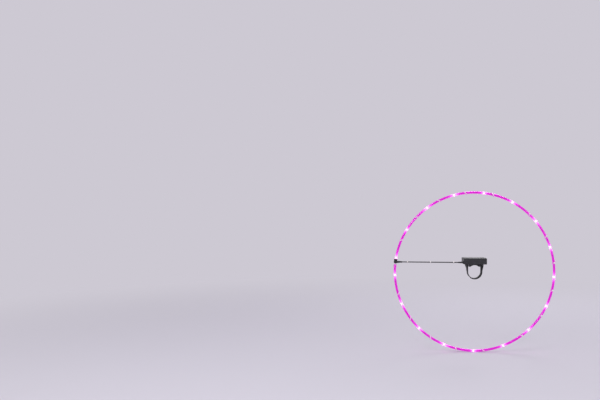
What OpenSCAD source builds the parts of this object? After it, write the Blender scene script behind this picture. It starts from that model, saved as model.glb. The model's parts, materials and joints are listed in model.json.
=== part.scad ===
// Spoke wheel light: a string of LEDs in a clear tube that is bent to a ring and tied in place, fed by
// a lead from a battery pack that is strapped to a barrel in the middle of the ring.
// Units are millimetres. The origin is the middle of the ring, +Y runs along its axis,
// +Z is up and the ring lies in the XZ plane, seen from -Y.

/* [Ring] */
// Radius of the ring at the middle of the tube
ring_r = 264; // [256:1:272]
// Outer diameter of the clear tube
tube_d = 8; // [7.6:0.1:9]
// Bore of the clear tube
tube_bore = 5.6; // [5.4:0.1:5.8]
// Spacing of the LEDs along the tube
led_pitch = 100; // [90:1:110]
// Distance from the inlet elbow to the first LED
first_led = 15; // [14:1:22]
// Diameter of the two string wires inside the tube
wire_d = 0.9; // [0.7:0.1:1]
// Length of one resin drop over an LED
bead_l = 7; // [5:0.5:9]

/* [Cable ties] */
// Width of a tie strap
tie_w = 2.5; // [2.2:0.1:3]
// Thickness of a tie strap
tie_t = 1.1; // [0.9:0.1:1.3]
// Diameter of the thin rod that a tie holds beside the tube or the lead
spoke_d = 2; // [1.8:0.1:2.3]
// Number of places round the ring where a tie can sit
spoke_count = 36; // [36:4:40]

/* [Lead] */
// Diameter of the lead between pack and ring
lead_d = 3.4; // [3:0.1:3.8]
// Number of ties along the lead
lead_tie_count = 3; // [2:1:4]

/* [Saddle and strap] */
// Diameter of the barrel that the pack is strapped to
hub_d = 44; // [40:1:48]
// Thickness of the rubber pad in the saddle
pad_t = 2; // [1.5:0.5:3]
// Width of the hub strap
strap_w = 22; // [20:1:25]
// Thickness of the hub strap
strap_t = 1.5; // [1.2:0.1:1.8]

/* [Battery pack] */
// Diameter of an AA cell
cell_d = 14.5; // [13.5:0.1:14.5]
// Length of an AA cell over its contact
cell_l = 50.5; // [49.2:0.1:50.5]
// Spacing of the cells side by side
cell_pitch = 15.2; // [15:0.1:16]
// Thickness of the case walls
wall = 2.2; // [2:0.1:2.8]
// Length of the switch bay
switch_bay = 13; // [13:0.5:16]
// Compressed length of a contact spring
spring_l = 5; // [4.6:0.1:6]
// Radius of the upright corners of the case
corner_r = 4; // [3:0.5:4.5]
// Radius of the soft edges of the case
edge_r = 2; // [1:0.5:2.5]

/* [Button] */
// Diameter of the power button
button_d = 10; // [8:0.5:10.5]
// Travel of the power button
button_travel = 1.2; // [0.8:0.1:1.4]

/* [Hidden] */
$fn = 64;
// Running gap between pieces that slide
slide_gap = 0.3;
// Gap between fixed pieces that touch
seat_gap = 0.05;
// Gap round what is pushed through a hole
hole_gap = 0.1;
// Overshoot of a cut past the face it opens
cut = 1;
// Overlap of a moulded detail with the wall that it stands on
sink = 0.2;
cell_count = 3;

// Sizes that follow from the ring
tube_r = tube_d / 2;
wire_off = tube_bore / 2 - slide_gap - wire_d / 2;
bead_r = wire_off - wire_d / 2 - seat_gap;
chip_l = 1.6;
chip_t = 0.8;
// Film of solder or resin round a chip
chip_gap = 0.02;
// A wire is this much thicker where it bends
bend_swell = 0.02;

// Sizes that follow from the pack, from the barrel upwards
hub_r = hub_d / 2;
saddle_web = 1.5;
base_z = hub_r + pad_t + saddle_web;
floor_z = base_z + wall;
cell_r = cell_d / 2;
// Free height under and over a cell
cell_gap = 0.4;
cell_z = floor_z + cell_gap + cell_r;
cover_z = cell_z + cell_r + cell_gap;
tongue_t = 1.3;
cover_t = 3.2;
top_z = cover_z + cover_t;
case_h = top_z - base_z;

// Sizes that follow from the pack, along its length and across it
contact_t = 0.5;
// Free length of the cell bay while its springs are pressed
end_play = 0.5;
bay_l = cell_l + spring_l + 2 * contact_t + end_play;
partition = 1.6;
case_l = 2 * wall + switch_bay + partition + bay_l;
case_x0 = -case_l / 2;
bay_x0 = case_x0 + wall + switch_bay + partition;
bay_x1 = bay_x0 + bay_l;
// Free width of the cell bay beside its cells
side_play = 0.6;
bay_w = cell_count * cell_pitch + side_play;
groove_d = 1.3;
// The side walls are thicker, because they hold the grooves of the cover
groove_extra = 0.5;
side_wall = wall + groove_extra;
case_w = bay_w + 2 * side_wall;

// Switch deck, circuit board and button
deck_drop = 3;
deck_z = cover_z - deck_drop;
deck_in = 0.2;
deck_x1 = bay_x0 - deck_in;
switch_x = case_x0 + wall + switch_bay / 2;
pcb_t = 1;
lead_lift = 2.3;
lead_z = floor_z + lead_d / 2 + lead_lift;
pcb_lift = 2.4;
pcb_z = lead_z + lead_d / 2 + pcb_lift;
pcb_gap = 0.7;
pcb_l = switch_bay - 2 * pcb_gap;
pcb_w = 27;
button_r = button_d / 2;
flange_out = 1;
flange_r = button_r + flange_out;
flange_t = 1.2;
flange_z = top_z - wall - slide_gap - flange_t;
switch_top = flange_z - button_travel - slide_gap;
switch_w = 8;
plunger_r = 1.4;
plunger_in = 1.6;
stake_y = 10.5;
stake_r = 1;
stake_up = 0.7;
post_r = 2;
boss_in = 3;
boss_y = bay_w / 2 - boss_in;
boss_r = 2.8;
screw_r = 1;
screw_head_r = 1.9;
screw_head_h = 1.2;
screw_head_in = 0.4;
screw_l = 11;
return_r = 0.6;
return_in = 1.3;
return_y = bay_w / 2 - return_in;
return_up = 1.2;
return_z = floor_z + return_up;

// Strap bars on either side of the saddle
bar_r = 1.6;
bar_gap = 0.25;
// Free space over the strap and at its edges where it turns round a bar
strap_room = 0.6;
bar_x = hub_r + strap_t + bar_gap + bar_r;
bar_z = base_z - bar_r - bar_gap - strap_t - strap_room;
lug_t = 2.2;
lug_y = strap_w / 2 + strap_room + lug_t / 2;
saddle_turn = 46;
pad_turn = 43;

// The lead runs level from the near side of the pack to the ring
lead_r = lead_d / 2;
lead_side = 5.2;
lead_y = -bay_w / 2 + lead_side;
elbow_turn = 180 - asin(lead_z / ring_r);
elbow_x = ring_r * cos(elbow_turn);
lead_in = 2.2;
lead_x0 = case_x0 + wall + lead_in;
lead_turn = atan2(-lead_y, elbow_x - lead_x0);
lead_span = norm([elbow_x - lead_x0, lead_y]);
lead_stop = 2.5;
gland_l = 17;
gland_neck_r = lead_r + 1.1;
gland_flange_r = lead_r + 2;
elbow_out = 22;
elbow_wall = 1.3;
elbow_r = tube_r + elbow_wall;
ball_out = 0.35;
ball_r = elbow_r + ball_out;
sleeve_l = 7;
tube_stop = 3.2;

// Angles round the ring, anticlockwise as seen from -Y
function arc_turn(length) = length / ring_r * 180 / PI;
tip_gap = 1.4;
plug_cap = 2.4;
plug_l = 9;
plug_wall = 0.9;
far_turn = elbow_turn + arc_turn(ball_r + tip_gap + plug_cap);
live_turn = elbow_turn + 360 - arc_turn(tube_stop + 2 * seat_gap);
last_led_room = arc_turn(ball_r + tip_gap + plug_cap + plug_l + bead_l);
led_count = 1 + floor((360 - arc_turn(first_led) - last_led_room) / arc_turn(led_pitch));
function led_turn(i) = elbow_turn - arc_turn(first_led) - i * arc_turn(led_pitch);

// Gap of a tie round what it holds, and the place of the outer ties on the lead
tie_gap = 0.2;
tie_slant = 45;
lead_tie_in = 18;

// A tie sits at the place nearest to the middle of each stretch between two LEDs
spoke_pitch = 360 / spoke_count;
spoke_phase = -3.5;
function spoke_number(turn) = round((turn - spoke_phase) / spoke_pitch);
function tie_spoke(i) = spoke_number((led_turn(i) + led_turn(i + 1)) / 2);
function spoke_turn(k) = k * spoke_pitch + spoke_phase;

// Cells lie side by side across Y, and the middle one lies the other way round
function cell_y(i) = (i - (cell_count - 1) / 2) * cell_pitch;
function cell_turned(i) = i % 2 == 1;
contact_in = seat_gap + contact_t + seat_gap;
function cell_x0(i) = cell_turned(i) ? bay_x0 + contact_in : bay_x1 - contact_in - cell_l;

// Shared shapes

// A rectangle with round corners, about its middle
module round_rect(length, width, r) {
    square([length - 2 * r, width], center = true);
    square([length, width - 2 * r], center = true);
    for (x = [-1, 1], y = [-1, 1])
        translate([x * (length / 2 - r), y * (width / 2 - r)]) circle(r);
}

// The outside of the pack as one soft block, before it is split into case, deck and cover
module pack_block() {
    translate([0, 0, base_z]) intersection() {
        linear_extrude(case_h) round_rect(case_l, case_w, corner_r);
        translate([0, 0, case_h / 2]) rotate([90, 0, 0])
            linear_extrude(case_w + 2 * cut, center = true) round_rect(case_l, case_h, edge_r);
        translate([0, 0, case_h / 2]) rotate([90, 0, 90])
            linear_extrude(case_l + 2 * cut, center = true) round_rect(case_w, case_h, edge_r);
    }
}

// A block between two corners
module block(low, high) {
    translate(low) cube(high - low);
}

// Sweeps a flat section round the ring between two angles
module ring_arc(from, to) {
    rotate([90, 0, 0]) rotate([0, 0, from])
        rotate_extrude(angle = to - from) translate([ring_r, 0]) children();
}

// Puts children on the ring: X outwards, Y along the tube, Z towards the viewer
module on_ring(turn) {
    rotate([90, 0, 0]) rotate([0, 0, turn]) translate([ring_r, 0, 0]) children();
}

// Puts children at the pack end of the lead, with Z along it towards the ring
module along_lead(distance) {
    translate([lead_x0, lead_y, lead_z]) rotate([0, 0, lead_turn]) rotate([0, 90, 0])
        translate([0, 0, distance]) children();
}

// Section of a tie loop drawn round a rod and a thinner one beside it, grown by $grow
module tie_outline(half, spread, peak) {
    lean = asin(half / peak);
    foot = [spread + (half + $grow) * cos(lean), (half + $grow) * sin(lean)];
    roof = [spread + (half + $grow - (peak + $grow) * sin(lean)) / cos(lean), peak + $grow];
    for (side = [-1, 1]) translate([side * spread, 0]) circle(half + $grow);
    square([2 * spread, 2 * (half + $grow)], center = true);
    polygon([[-foot[0], foot[1]], foot, roof, [-roof[0], roof[1]]]);
}

// One nylon tie: the loop, its head on the far side from the thin rod and the trimmed tail
module tie(half, spread, peak) {
    head = [4.2 * tie_t, 1.8 * tie_w, 3.1 * tie_t];
    tail = 1.5 * tie_t;
    rotate([90, 0, 0]) difference() {
        union() {
            linear_extrude(tie_w, center = true) {
                $grow = tie_t;
                tie_outline(half, spread, peak);
            }
            translate([-head[0] / 2, -half - tie_t / 2 - head[2], -head[1] / 2])
                cube([head[0], head[2], head[1]]);
            translate([-tie_t / 2, -half - head[2] - tie_t / 2 - tail, -tie_w / 2])
                cube([tie_t, head[2] + tail, tie_w]);
        }
        linear_extrude(2 * head[1], center = true) {
            $grow = 0;
            tie_outline(half, spread, peak);
        }
    }
}

// Light ring

// Clear PVC tube, bent to a ring and open where its two ends meet
module light_tube() {
    color([0.95, 0.45, 0.92, 0.5]) ring_arc(far_turn, live_turn) difference() {
        circle(tube_r);
        circle(tube_bore / 2);
    }
}

// Two wires that run side by side through the tube
module string_wires() {
    color([0.72, 0.45, 0.3]) for (side = [-1, 1])
        ring_arc(far_turn + arc_turn(plug_l), live_turn - arc_turn(seat_gap))
            translate([0, side * wire_off]) circle(wire_d / 2);
}

// LED chips, each soldered across the two wires
module led_chips() {
    reach = 2 * (wire_off - wire_d / 2 - chip_gap);
    color([1, 0.85, 0.6]) for (i = [0 : led_count - 1])
        on_ring(led_turn(i)) cube([chip_t, chip_l, reach], center = true);
}

// Resin drops over the chips
module led_beads() {
    side = [for (t = [0 : 15 : 180]) [bead_r * sin(t), -bead_l / 2 * cos(t)]];
    color([1, 0.8, 1]) for (i = [0 : led_count - 1]) on_ring(led_turn(i)) difference() {
        rotate([90, 0, 0]) rotate_extrude() polygon(side);
        cube([chip_t + 2 * chip_gap, chip_l + 2 * chip_gap, 4 * bead_r], center = true);
    }
}

// Moulded elbow on the live end of the tube, with a tapered outlet for the lead
module inlet_elbow() {
    outlet = lead_span - elbow_out;
    neck_r = lead_r + 2.4;
    tip_r = lead_r + 0.8;
    groove_root = tip_r - 0.1;
    groove_w = 1.2;
    groove_step = 3;
    color([0.06, 0.06, 0.07]) difference() {
        union() {
            ring_arc(elbow_turn - arc_turn(tube_stop + sleeve_l), elbow_turn) circle(elbow_r);
            on_ring(elbow_turn) sphere(ball_r);
            along_lead(outlet) cylinder(r1 = tip_r, r2 = neck_r, h = elbow_out);
        }
        ring_arc(elbow_turn - arc_turn(tube_stop + sleeve_l + cut), elbow_turn - arc_turn(tube_stop))
            circle(tube_r + seat_gap);
        along_lead(outlet - cut) cylinder(r = lead_r + seat_gap, h = elbow_out - lead_stop + cut);
        for (i = [1 : 3]) along_lead(outlet + i * groove_step) difference() {
            cylinder(r = neck_r + cut, h = groove_w);
            translate([0, 0, -cut]) cylinder(r = groove_root, h = groove_w + 2 * cut);
        }
    }
}

// Clear plug that closes the far end of the tube
module end_plug() {
    color([0.9, 0.6, 0.9, 0.6]) {
        difference() {
            ring_arc(far_turn - arc_turn(plug_cap), far_turn + arc_turn(plug_l)) circle(tube_r + plug_wall);
            ring_arc(far_turn, far_turn + arc_turn(plug_l + cut)) circle(tube_r + seat_gap);
        }
        ring_arc(far_turn - arc_turn(plug_cap / 2), far_turn + arc_turn(plug_l / 2))
            circle(tube_bore / 2 - seat_gap);
    }
}

// Nylon ties that hold the tube to thin rods, by turns on the near and far side of it
module spoke_ties() {
    half = tube_r + tie_gap;
    reach = tube_r / cos(tie_slant) + tie_w / 2 + tie_gap;
    color([0.9, 0.88, 0.9]) for (i = [0 : led_count - 2])
        on_ring(spoke_turn(tie_spoke(i))) rotate([0, 0, tie_slant]) mirror([0, 0, abs(tie_spoke(i)) % 2])
            tie(half, reach - half, half + spoke_d + tie_gap);
}

// Lead

// Two-core lead from the pack to the elbow
module lead_cable() {
    color([0.04, 0.04, 0.045]) along_lead(0) cylinder(r = lead_r, h = lead_span - lead_stop - seat_gap);
}

// Nylon ties that hold the lead to the thin rod it follows
module lead_ties() {
    half = lead_r + tie_gap;
    spread = 0.3 * spoke_d;
    first = gland_l + lead_in + lead_tie_in;
    last = lead_span - elbow_out - lead_tie_in;
    color([0.9, 0.88, 0.9]) for (i = [0 : lead_tie_count - 1])
        along_lead(first + i * (last - first) / (lead_tie_count - 1))
            rotate([0, 0, 180]) rotate([90, 0, 0]) tie(half, spread, half + spoke_d + tie_gap);
}

// Strain relief where the lead enters the case: a flange inside the wall, a neck through it, and a
// collar and a grooved boot outside
module lead_gland() {
    flange_h = 1.2;
    flange_at = lead_in - slide_gap - flange_h;
    neck_at = lead_in - flange_h;
    collar_gap = 0.25;
    collar_at = lead_in + wall + collar_gap;
    collar_h = 1.6;
    collar_r = lead_r + 2.3;
    boot_r = lead_r + 1.9;
    tip_r = lead_r + 0.7;
    groove_root = lead_r + 0.6;
    groove_w = 1.3;
    groove_step = 3.4;
    first_groove = 5.4;
    color([0.07, 0.07, 0.08]) difference() {
        union() {
            along_lead(flange_at) cylinder(r = gland_flange_r, h = flange_h);
            along_lead(neck_at) cylinder(r = gland_neck_r, h = collar_at - neck_at + sink);
            along_lead(collar_at) cylinder(r = collar_r, h = collar_h);
            along_lead(collar_at) cylinder(r1 = boot_r, r2 = tip_r, h = gland_l);
        }
        along_lead(-cut) cylinder(r = lead_r + seat_gap, h = collar_at + gland_l + 2 * cut);
        for (i = [0 : 2]) along_lead(collar_at + first_groove + i * groove_step) difference() {
            cylinder(r = collar_r + cut, h = groove_w);
            translate([0, 0, -cut]) cylinder(r = groove_root, h = groove_w + 2 * cut);
        }
    }
}

// Battery pack

// Saddle block under the case, hollowed to the barrel with its pad
module saddle() {
    out = (hub_r + pad_t) * sin(saddle_turn);
    low = (hub_r + pad_t) * cos(saddle_turn);
    lip = 1.2;
    rotate([90, 0, 0]) linear_extrude(strap_w, center = true) difference() {
        translate([-out - lip, low]) square([2 * (out + lip), base_z + cut - low]);
        circle(hub_r + pad_t);
    }
}

// Bars that the strap is threaded round, with their lugs
module strap_bars() {
    lug_r = bar_r + 1.5;
    lug_neck = bar_r + 1.3;
    for (side = [-1, 1]) {
        translate([side * bar_x, 0, bar_z]) rotate([90, 0, 0])
            cylinder(r = bar_r, h = 2 * lug_y, center = true);
        for (end = [-1, 1]) translate([0, end * lug_y + lug_t / 2, 0]) rotate([90, 0, 0])
            linear_extrude(lug_t) {
                translate([side * bar_x, bar_z]) circle(lug_r);
                translate([side * bar_x - lug_neck, bar_z]) square([2 * lug_neck, base_z - bar_z + cut]);
            }
    }
}

// Ribs across the cell bay, hollowed to the cells
module cradle_ribs() {
    rib_t = 1.6;
    rib_h = 5;
    // Places of the ribs as shares of the length of the bay
    rib_places = [0.24, 0.5, 0.76];
    for (part = rib_places) difference() {
        block([bay_x0 + part * bay_l, -bay_w / 2 - sink, floor_z - sink],
            [bay_x0 + part * bay_l + rib_t, bay_w / 2 + sink, floor_z + rib_h]);
        for (i = [0 : cell_count - 1]) translate([bay_x0 - cut, cell_y(i), cell_z]) rotate([0, 90, 0])
            cylinder(r = cell_r + slide_gap, h = bay_l + 2 * cut);
    }
}

// Case: cell bay, switch bay, saddle, strap bars and grooves for the sliding cover, moulded in one
module battery_case() {
    color([0.09, 0.09, 0.1]) difference() {
        union() {
            difference() {
                pack_block();
                block([bay_x0, -bay_w / 2, floor_z], [bay_x1, bay_w / 2, top_z + cut]);
                block([case_x0 + wall, -bay_w / 2, floor_z], [bay_x0 - partition, bay_w / 2, top_z + cut]);
                block([case_x0 - cut, -case_w, deck_z], [bay_x0, case_w, top_z + cut]);
                block([bay_x1 - cut, -bay_w / 2, cover_z - slide_gap],
                    [-case_x0 + cut, bay_w / 2, top_z + cut]);
                block([bay_x0 - cut, -bay_w / 2 - groove_d, cover_z - slide_gap],
                    [-case_x0 + cut, bay_w / 2 + groove_d, cover_z + tongue_t + slide_gap]);
            }
            saddle();
            strap_bars();
            cradle_ribs();
            for (side = [-1, 1]) {
                translate([switch_x, side * stake_y, floor_z - sink])
                    cylinder(r = post_r, h = pcb_z - floor_z + sink);
                translate([switch_x, side * stake_y, pcb_z - sink])
                    cylinder(r = stake_r, h = sink + pcb_t + stake_up);
                translate([switch_x, side * boss_y, floor_z - sink])
                    cylinder(r = boss_r, h = deck_z - floor_z + sink);
            }
        }
        for (side = [-1, 1]) translate([switch_x, side * boss_y, deck_z - screw_l])
            cylinder(r = screw_r + seat_gap, h = screw_l + cut);
        along_lead(lead_in - cut) cylinder(r = gland_neck_r + hole_gap, h = wall + 3 * cut);
        translate([bay_x0 - partition - cut, return_y, return_z]) rotate([0, 90, 0])
            cylinder(r = return_r + slide_gap, h = partition + bay_l);
    }
}

// Deck over the switch bay, held down by two screws
module switch_deck() {
    skin = wall;
    end_wall = 1.4;
    dish_depth = 0.6;
    dish_r = button_r + 1.4;
    head_gap = 0.15;
    color([0.1, 0.1, 0.11]) difference() {
        union() {
            difference() {
                intersection() {
                    pack_block();
                    block([case_x0 - cut, -case_w, deck_z + seat_gap], [deck_x1, case_w, top_z + cut]);
                }
                block([case_x0 + skin, -bay_w / 2, deck_z - cut],
                    [deck_x1 - end_wall, bay_w / 2, top_z - skin]);
            }
            for (side = [-1, 1]) translate([switch_x, side * boss_y, deck_z + seat_gap])
                cylinder(r = boss_r, h = top_z - skin - deck_z);
        }
        translate([switch_x, 0, deck_z]) cylinder(r = button_r + slide_gap, h = case_h);
        translate([switch_x, 0, top_z - dish_depth]) cylinder(r = dish_r, h = case_h);
        for (side = [-1, 1]) translate([switch_x, side * boss_y, 0]) {
            translate([0, 0, deck_z - cut]) cylinder(r = screw_r + seat_gap, h = case_h);
            translate([0, 0, top_z - screw_head_h - screw_head_in])
                cylinder(r = screw_head_r + head_gap, h = case_h);
        }
    }
}

// Two cross-head screws that hold the deck
module deck_screws() {
    head_z = top_z - screw_head_h - screw_head_in + seat_gap;
    tip_gap = 0.5;
    tip_z = deck_z - screw_l + tip_gap;
    cross = [2.2, 0.5, 1.2];
    color([0.7, 0.7, 0.72]) for (side = [-1, 1]) translate([switch_x, side * boss_y, 0]) difference() {
        union() {
            translate([0, 0, head_z]) cylinder(r = screw_head_r, h = screw_head_h);
            translate([0, 0, tip_z]) cylinder(r = screw_r, h = head_z - tip_z + screw_head_h / 2);
        }
        for (turn = [0, 90]) translate([0, 0, head_z + screw_head_h]) rotate([0, 0, turn])
            cube(cross, center = true);
    }
}

// Circuit board on two stakes of the case
module circuit_board() {
    color([0.05, 0.3, 0.14]) difference() {
        block([switch_x - pcb_l / 2, -pcb_w / 2, pcb_z], [switch_x + pcb_l / 2, pcb_w / 2, pcb_z + pcb_t]);
        for (side = [-1, 1]) translate([switch_x, side * stake_y, pcb_z - cut])
            cylinder(r = stake_r + hole_gap, h = pcb_t + 2 * cut);
    }
}

// Body of the push switch, soldered to the board
module switch_body() {
    low = pcb_z + pcb_t;
    color([0.12, 0.12, 0.13]) difference() {
        block([switch_x - switch_w / 2, -switch_w / 2, low],
            [switch_x + switch_w / 2, switch_w / 2, switch_top]);
        translate([switch_x, 0, switch_top - plunger_in - button_travel - slide_gap])
            cylinder(r = plunger_r + slide_gap, h = case_h);
    }
}

// Driver chip and two resistors on the board
module driver_parts() {
    low = pcb_z + pcb_t;
    chip = [5, 3.4, 1.4];
    chip_off = 0.9;
    resistor = [1.8, 1.6, 0.7];
    resistor_off = 1.6;
    resistor_pitch = 4.8;
    color([0.03, 0.03, 0.03]) {
        translate([switch_x - chip[0] / 2, switch_w / 2 + chip_off, low]) cube(chip);
        for (side = [-1, 1])
            translate([switch_x + side * resistor_pitch / 2 - resistor[0] / 2,
                -switch_w / 2 - resistor_off - resistor[1], low]) cube(resistor);
    }
}

// Cores of the lead, from its end up to the board
module lead_cores() {
    core_r = 0.45;
    core_step = [1.2, 0, 1.3];
    solder_in = 1.4;
    solder_y = -pcb_w / 2 + solder_in;
    for (i = [0, 1]) {
        x = lead_x0 + core_r + 2 * seat_gap + i * core_step[0];
        z = lead_z + (i - 1 / 2) * core_step[2];
        color([0.7, 0.06, 0.05]) {
            translate([x, lead_y, z]) rotate([-90, 0, 0]) cylinder(r = core_r, h = solder_y - lead_y);
            translate([x, solder_y, z]) sphere(core_r + bend_swell);
            translate([x, solder_y, z]) cylinder(r = core_r, h = pcb_z - seat_gap - z);
        }
    }
}

// Wire from the plus contact back along the case to the board
module return_wire() {
    wire_out = 1.9;
    x0 = bay_x0 - partition - wire_out;
    solder_in = 1.6;
    solder_y = pcb_w / 2 - solder_in;
    color([0.7, 0.06, 0.05]) translate([x0, 0, return_z]) {
        translate([0, return_y, 0]) rotate([0, 90, 0])
            cylinder(r = return_r, h = bay_x1 - contact_in - seat_gap - x0);
        translate([0, return_y, 0]) sphere(return_r + bend_swell);
        translate([0, return_y, 0]) rotate([90, 0, 0]) cylinder(r = return_r, h = return_y - solder_y);
        translate([0, solder_y, 0]) sphere(return_r + bend_swell);
        translate([0, solder_y, 0]) cylinder(r = return_r, h = pcb_z - seat_gap - return_z);
    }
}

// An AA cell lying along X, with its plus end towards +X unless it is turned
module cell(i) {
    nub_h = 1.2;
    nub_r = 2.7;
    can_l = cell_l - nub_h;
    shoulder_in = 0.5;
    shoulder_l = 0.4;
    color([0.6, 0.62, 0.65]) translate([cell_x0(i) + cell_l / 2, cell_y(i), cell_z])
        rotate([0, 0, cell_turned(i) ? 180 : 0]) translate([-cell_l / 2, 0, 0]) rotate([0, 90, 0]) {
            cylinder(r = cell_r - shoulder_in, h = can_l);
            translate([0, 0, shoulder_l]) cylinder(r = cell_r, h = can_l - 2 * shoulder_l);
            cylinder(r = nub_r, h = cell_l);
        }
}

module cell_1() {
    cell(0);
}

module cell_2() {
    cell(1);
}

module cell_3() {
    cell(2);
}

// One coil of spring wire as a closed tube: rings of points joined by faces
spring_wire = 0.35;
spring_turns = 3.5;
spring_wide = 3.4;
spring_narrow = 2;
coil_rings = 28;
coil_sides = 6;
coil_run = spring_l - 2 * (spring_wire + 2 * seat_gap);
function coil_point(t) = let (
    r = spring_wide + (spring_narrow - spring_wide) * t,
    a = 360 * spring_turns * t) [r * cos(a), r * sin(a), coil_run * t];
coil_step = 0.001;
function coil_dir(t) = let (d = coil_point(t + coil_step) - coil_point(t - coil_step)) d / norm(d);
function coil_ring(t) = let (
    p = coil_point(t),
    d = coil_dir(t),
    a = 360 * spring_turns * t,
    u = [cos(a), sin(a), 0],
    v = cross(d, u)) [for (s = [0 : coil_sides - 1])
        p + spring_wire * (cos(360 * s / coil_sides) * u + sin(360 * s / coil_sides) * v / norm(v))];
coil_gap = min([for (i = [0 : coil_rings], j = [0 : coil_rings])
    if (j - i > coil_rings / spring_turns / 2)
        norm(coil_point(i / coil_rings) - coil_point(j / coil_rings))]) - 2 * spring_wire;
echo(str("least gap between the coils of a contact spring, mm: ", coil_gap));

module coil() {
    points = [for (k = [0 : coil_rings]) each coil_ring(k / coil_rings)];
    last = coil_rings * coil_sides;
    sides = [for (k = [0 : coil_rings - 1], s = [0 : coil_sides - 1])
        let (next = (s + 1) % coil_sides, a = k * coil_sides, b = a + coil_sides)
            each [[a + s, a + next, b + next], [a + s, b + next, b + s]]];
    caps = [[for (s = [coil_sides - 1 : -1 : 0]) s], [for (s = [0 : coil_sides - 1]) last + s]];
    polyhedron(points, concat(sides, caps), convexity = 8);
}

// Cone springs on the minus contacts
module contact_springs() {
    lift = contact_in + spring_wire + seat_gap;
    color([0.75, 0.75, 0.78]) for (i = [0 : cell_count - 1])
        translate([cell_turned(i) ? bay_x1 - lift : bay_x0 + lift, cell_y(i), cell_z])
            rotate([0, cell_turned(i) ? -90 : 90, 0]) coil();
}

// A contact plate that reaches from one cell to another, on the left or the right end of the bay
module contact_plate(first, last, right) {
    plate = 11;
    plate_corner = 1.6;
    x = right ? bay_x1 - seat_gap - contact_t : bay_x0 + seat_gap;
    color([0.75, 0.75, 0.78]) translate([x, (cell_y(first) + cell_y(last)) / 2, cell_z]) rotate([90, 0, 90])
        linear_extrude(contact_t) round_rect(cell_y(last) - cell_y(first) + plate, plate, plate_corner);
}

module left_bridge() {
    contact_plate(1, 2, false);
}

module right_bridge() {
    contact_plate(0, 1, true);
}

module minus_contact() {
    contact_plate(0, 0, false);
}

module plus_contact() {
    contact_plate(2, 2, true);
}

// Rubber pad between saddle and barrel
module saddle_pad() {
    far = 2 * hub_r;
    color([0.03, 0.03, 0.03]) rotate([90, 0, 0]) linear_extrude(strap_w, center = true) intersection() {
        difference() {
            circle(hub_r + pad_t - seat_gap);
            circle(hub_r);
        }
        polygon([[0, 0], [far * sin(pad_turn), far * cos(pad_turn)], [0, 2 * far],
            [-far * sin(pad_turn), far * cos(pad_turn)]]);
    }
}

// Gives a section of the strap its width
module strap_band() {
    rotate([90, 0, 0]) linear_extrude(strap_w, center = true) children();
}

// One side of the strap: the run beside the barrel, the turn over the bar and the leg back to the run
module strap_side(leg_end, leg_foot) {
    turn_r = bar_r + bar_gap;
    leg_x = bar_x + turn_r;
    run_x = hub_r + strap_t;
    parting_z = leg_end + 2;
    difference() {
        union() {
            strap_band() polygon([[hub_r, -sink], [hub_r, bar_z], [leg_x + strap_t, bar_z],
                [run_x + leg_foot, leg_end], [run_x, leg_end], [run_x, -sink]]);
            strap_band() intersection() {
                translate([bar_x, bar_z]) circle(turn_r + strap_t);
                translate([hub_r - cut, bar_z]) square(4 * turn_r + 2 * strap_t + cut);
            }
        }
        translate([bar_x, 0, bar_z]) rotate([90, 0, 0])
            cylinder(r = turn_r, h = strap_w + cut, center = true);
        rotate([90, 0, 0]) linear_extrude(strap_w + cut, center = true)
            polygon([[run_x, parting_z], [run_x, bar_z], [leg_x, bar_z]]);
    }
}

// Hook-and-loop strap: sewn round the left bar, under the barrel, round the right bar and back on itself
module hub_strap() {
    lap_turn = 118;
    sewn_end = 3;
    sewn_foot = 0.8;
    far = 4 * hub_r;
    color([0.05, 0.05, 0.055]) {
        strap_band() intersection() {
            difference() {
                circle(hub_r + strap_t);
                circle(hub_r);
            }
            translate([-far, -far]) square([2 * far, far]);
        }
        strap_side(0, strap_t);
        mirror([1, 0, 0]) strap_side(sewn_end, sewn_foot);
        strap_band() intersection() {
            difference() {
                circle(hub_r + 2 * strap_t);
                circle(hub_r + strap_t / 2);
            }
            polygon([[0, 0], [far, 0], [far, -far], [0, -2 * far],
                [far * cos(-lap_turn), far * sin(-lap_turn)]]);
        }
    }
}

// Moving pieces

// Cover that slides off along +X with its edges in the grooves of the case
module battery_cover() {
    end_gap = 0.25;
    x0 = deck_x1 + end_gap;
    neck = bay_w / 2 - slide_gap;
    // Grip: slots across the free end of the cover
    grip_count = 5;
    grip_step = 2.4;
    grip_in = 6.8;
    grip = [1.2, 18, 0.7];
    color([0.1, 0.1, 0.11]) difference() {
        intersection() {
            pack_block();
            union() {
                block([x0, -neck, cover_z], [-case_x0 + cut, neck, top_z]);
                block([x0, -bay_w / 2 - groove_d + slide_gap, cover_z],
                    [-case_x0 + cut, bay_w / 2 + groove_d - slide_gap, cover_z + tongue_t]);
            }
        }
        for (i = [0 : grip_count - 1])
            translate([-case_x0 - grip_in - i * grip_step - grip[0], -grip[1] / 2, top_z - grip[2]])
                cube([grip[0], grip[1], grip[2] + cut]);
    }
}

// Soft domed button cap with two grip rings, and a flange that keeps it under the deck
module power_button() {
    dome = 14;
    button_up = 0.9;
    dome_z = top_z + button_up - dome;
    grip_rings = [2.05, 3.3];
    grip_r = 0.22;
    color([0.32, 0.32, 0.34]) translate([switch_x, 0, 0]) {
        translate([0, 0, flange_z]) cylinder(r = flange_r, h = flange_t);
        difference() {
            intersection() {
                translate([0, 0, flange_z + flange_t / 2]) cylinder(r = button_r, h = case_h);
                translate([0, 0, dome_z]) sphere(dome);
            }
            for (r = grip_rings) translate([0, 0, dome_z + sqrt(dome * dome - r * r)])
                rotate_extrude() translate([r, 0]) circle(grip_r);
        }
    }
}

// Plunger of the push switch, which the button drives
module switch_plunger() {
    low = switch_top - plunger_in;
    color([0.9, 0.9, 0.88]) translate([switch_x, 0, low])
        cylinder(r = plunger_r, h = flange_z - seat_gap - low);
}

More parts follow.
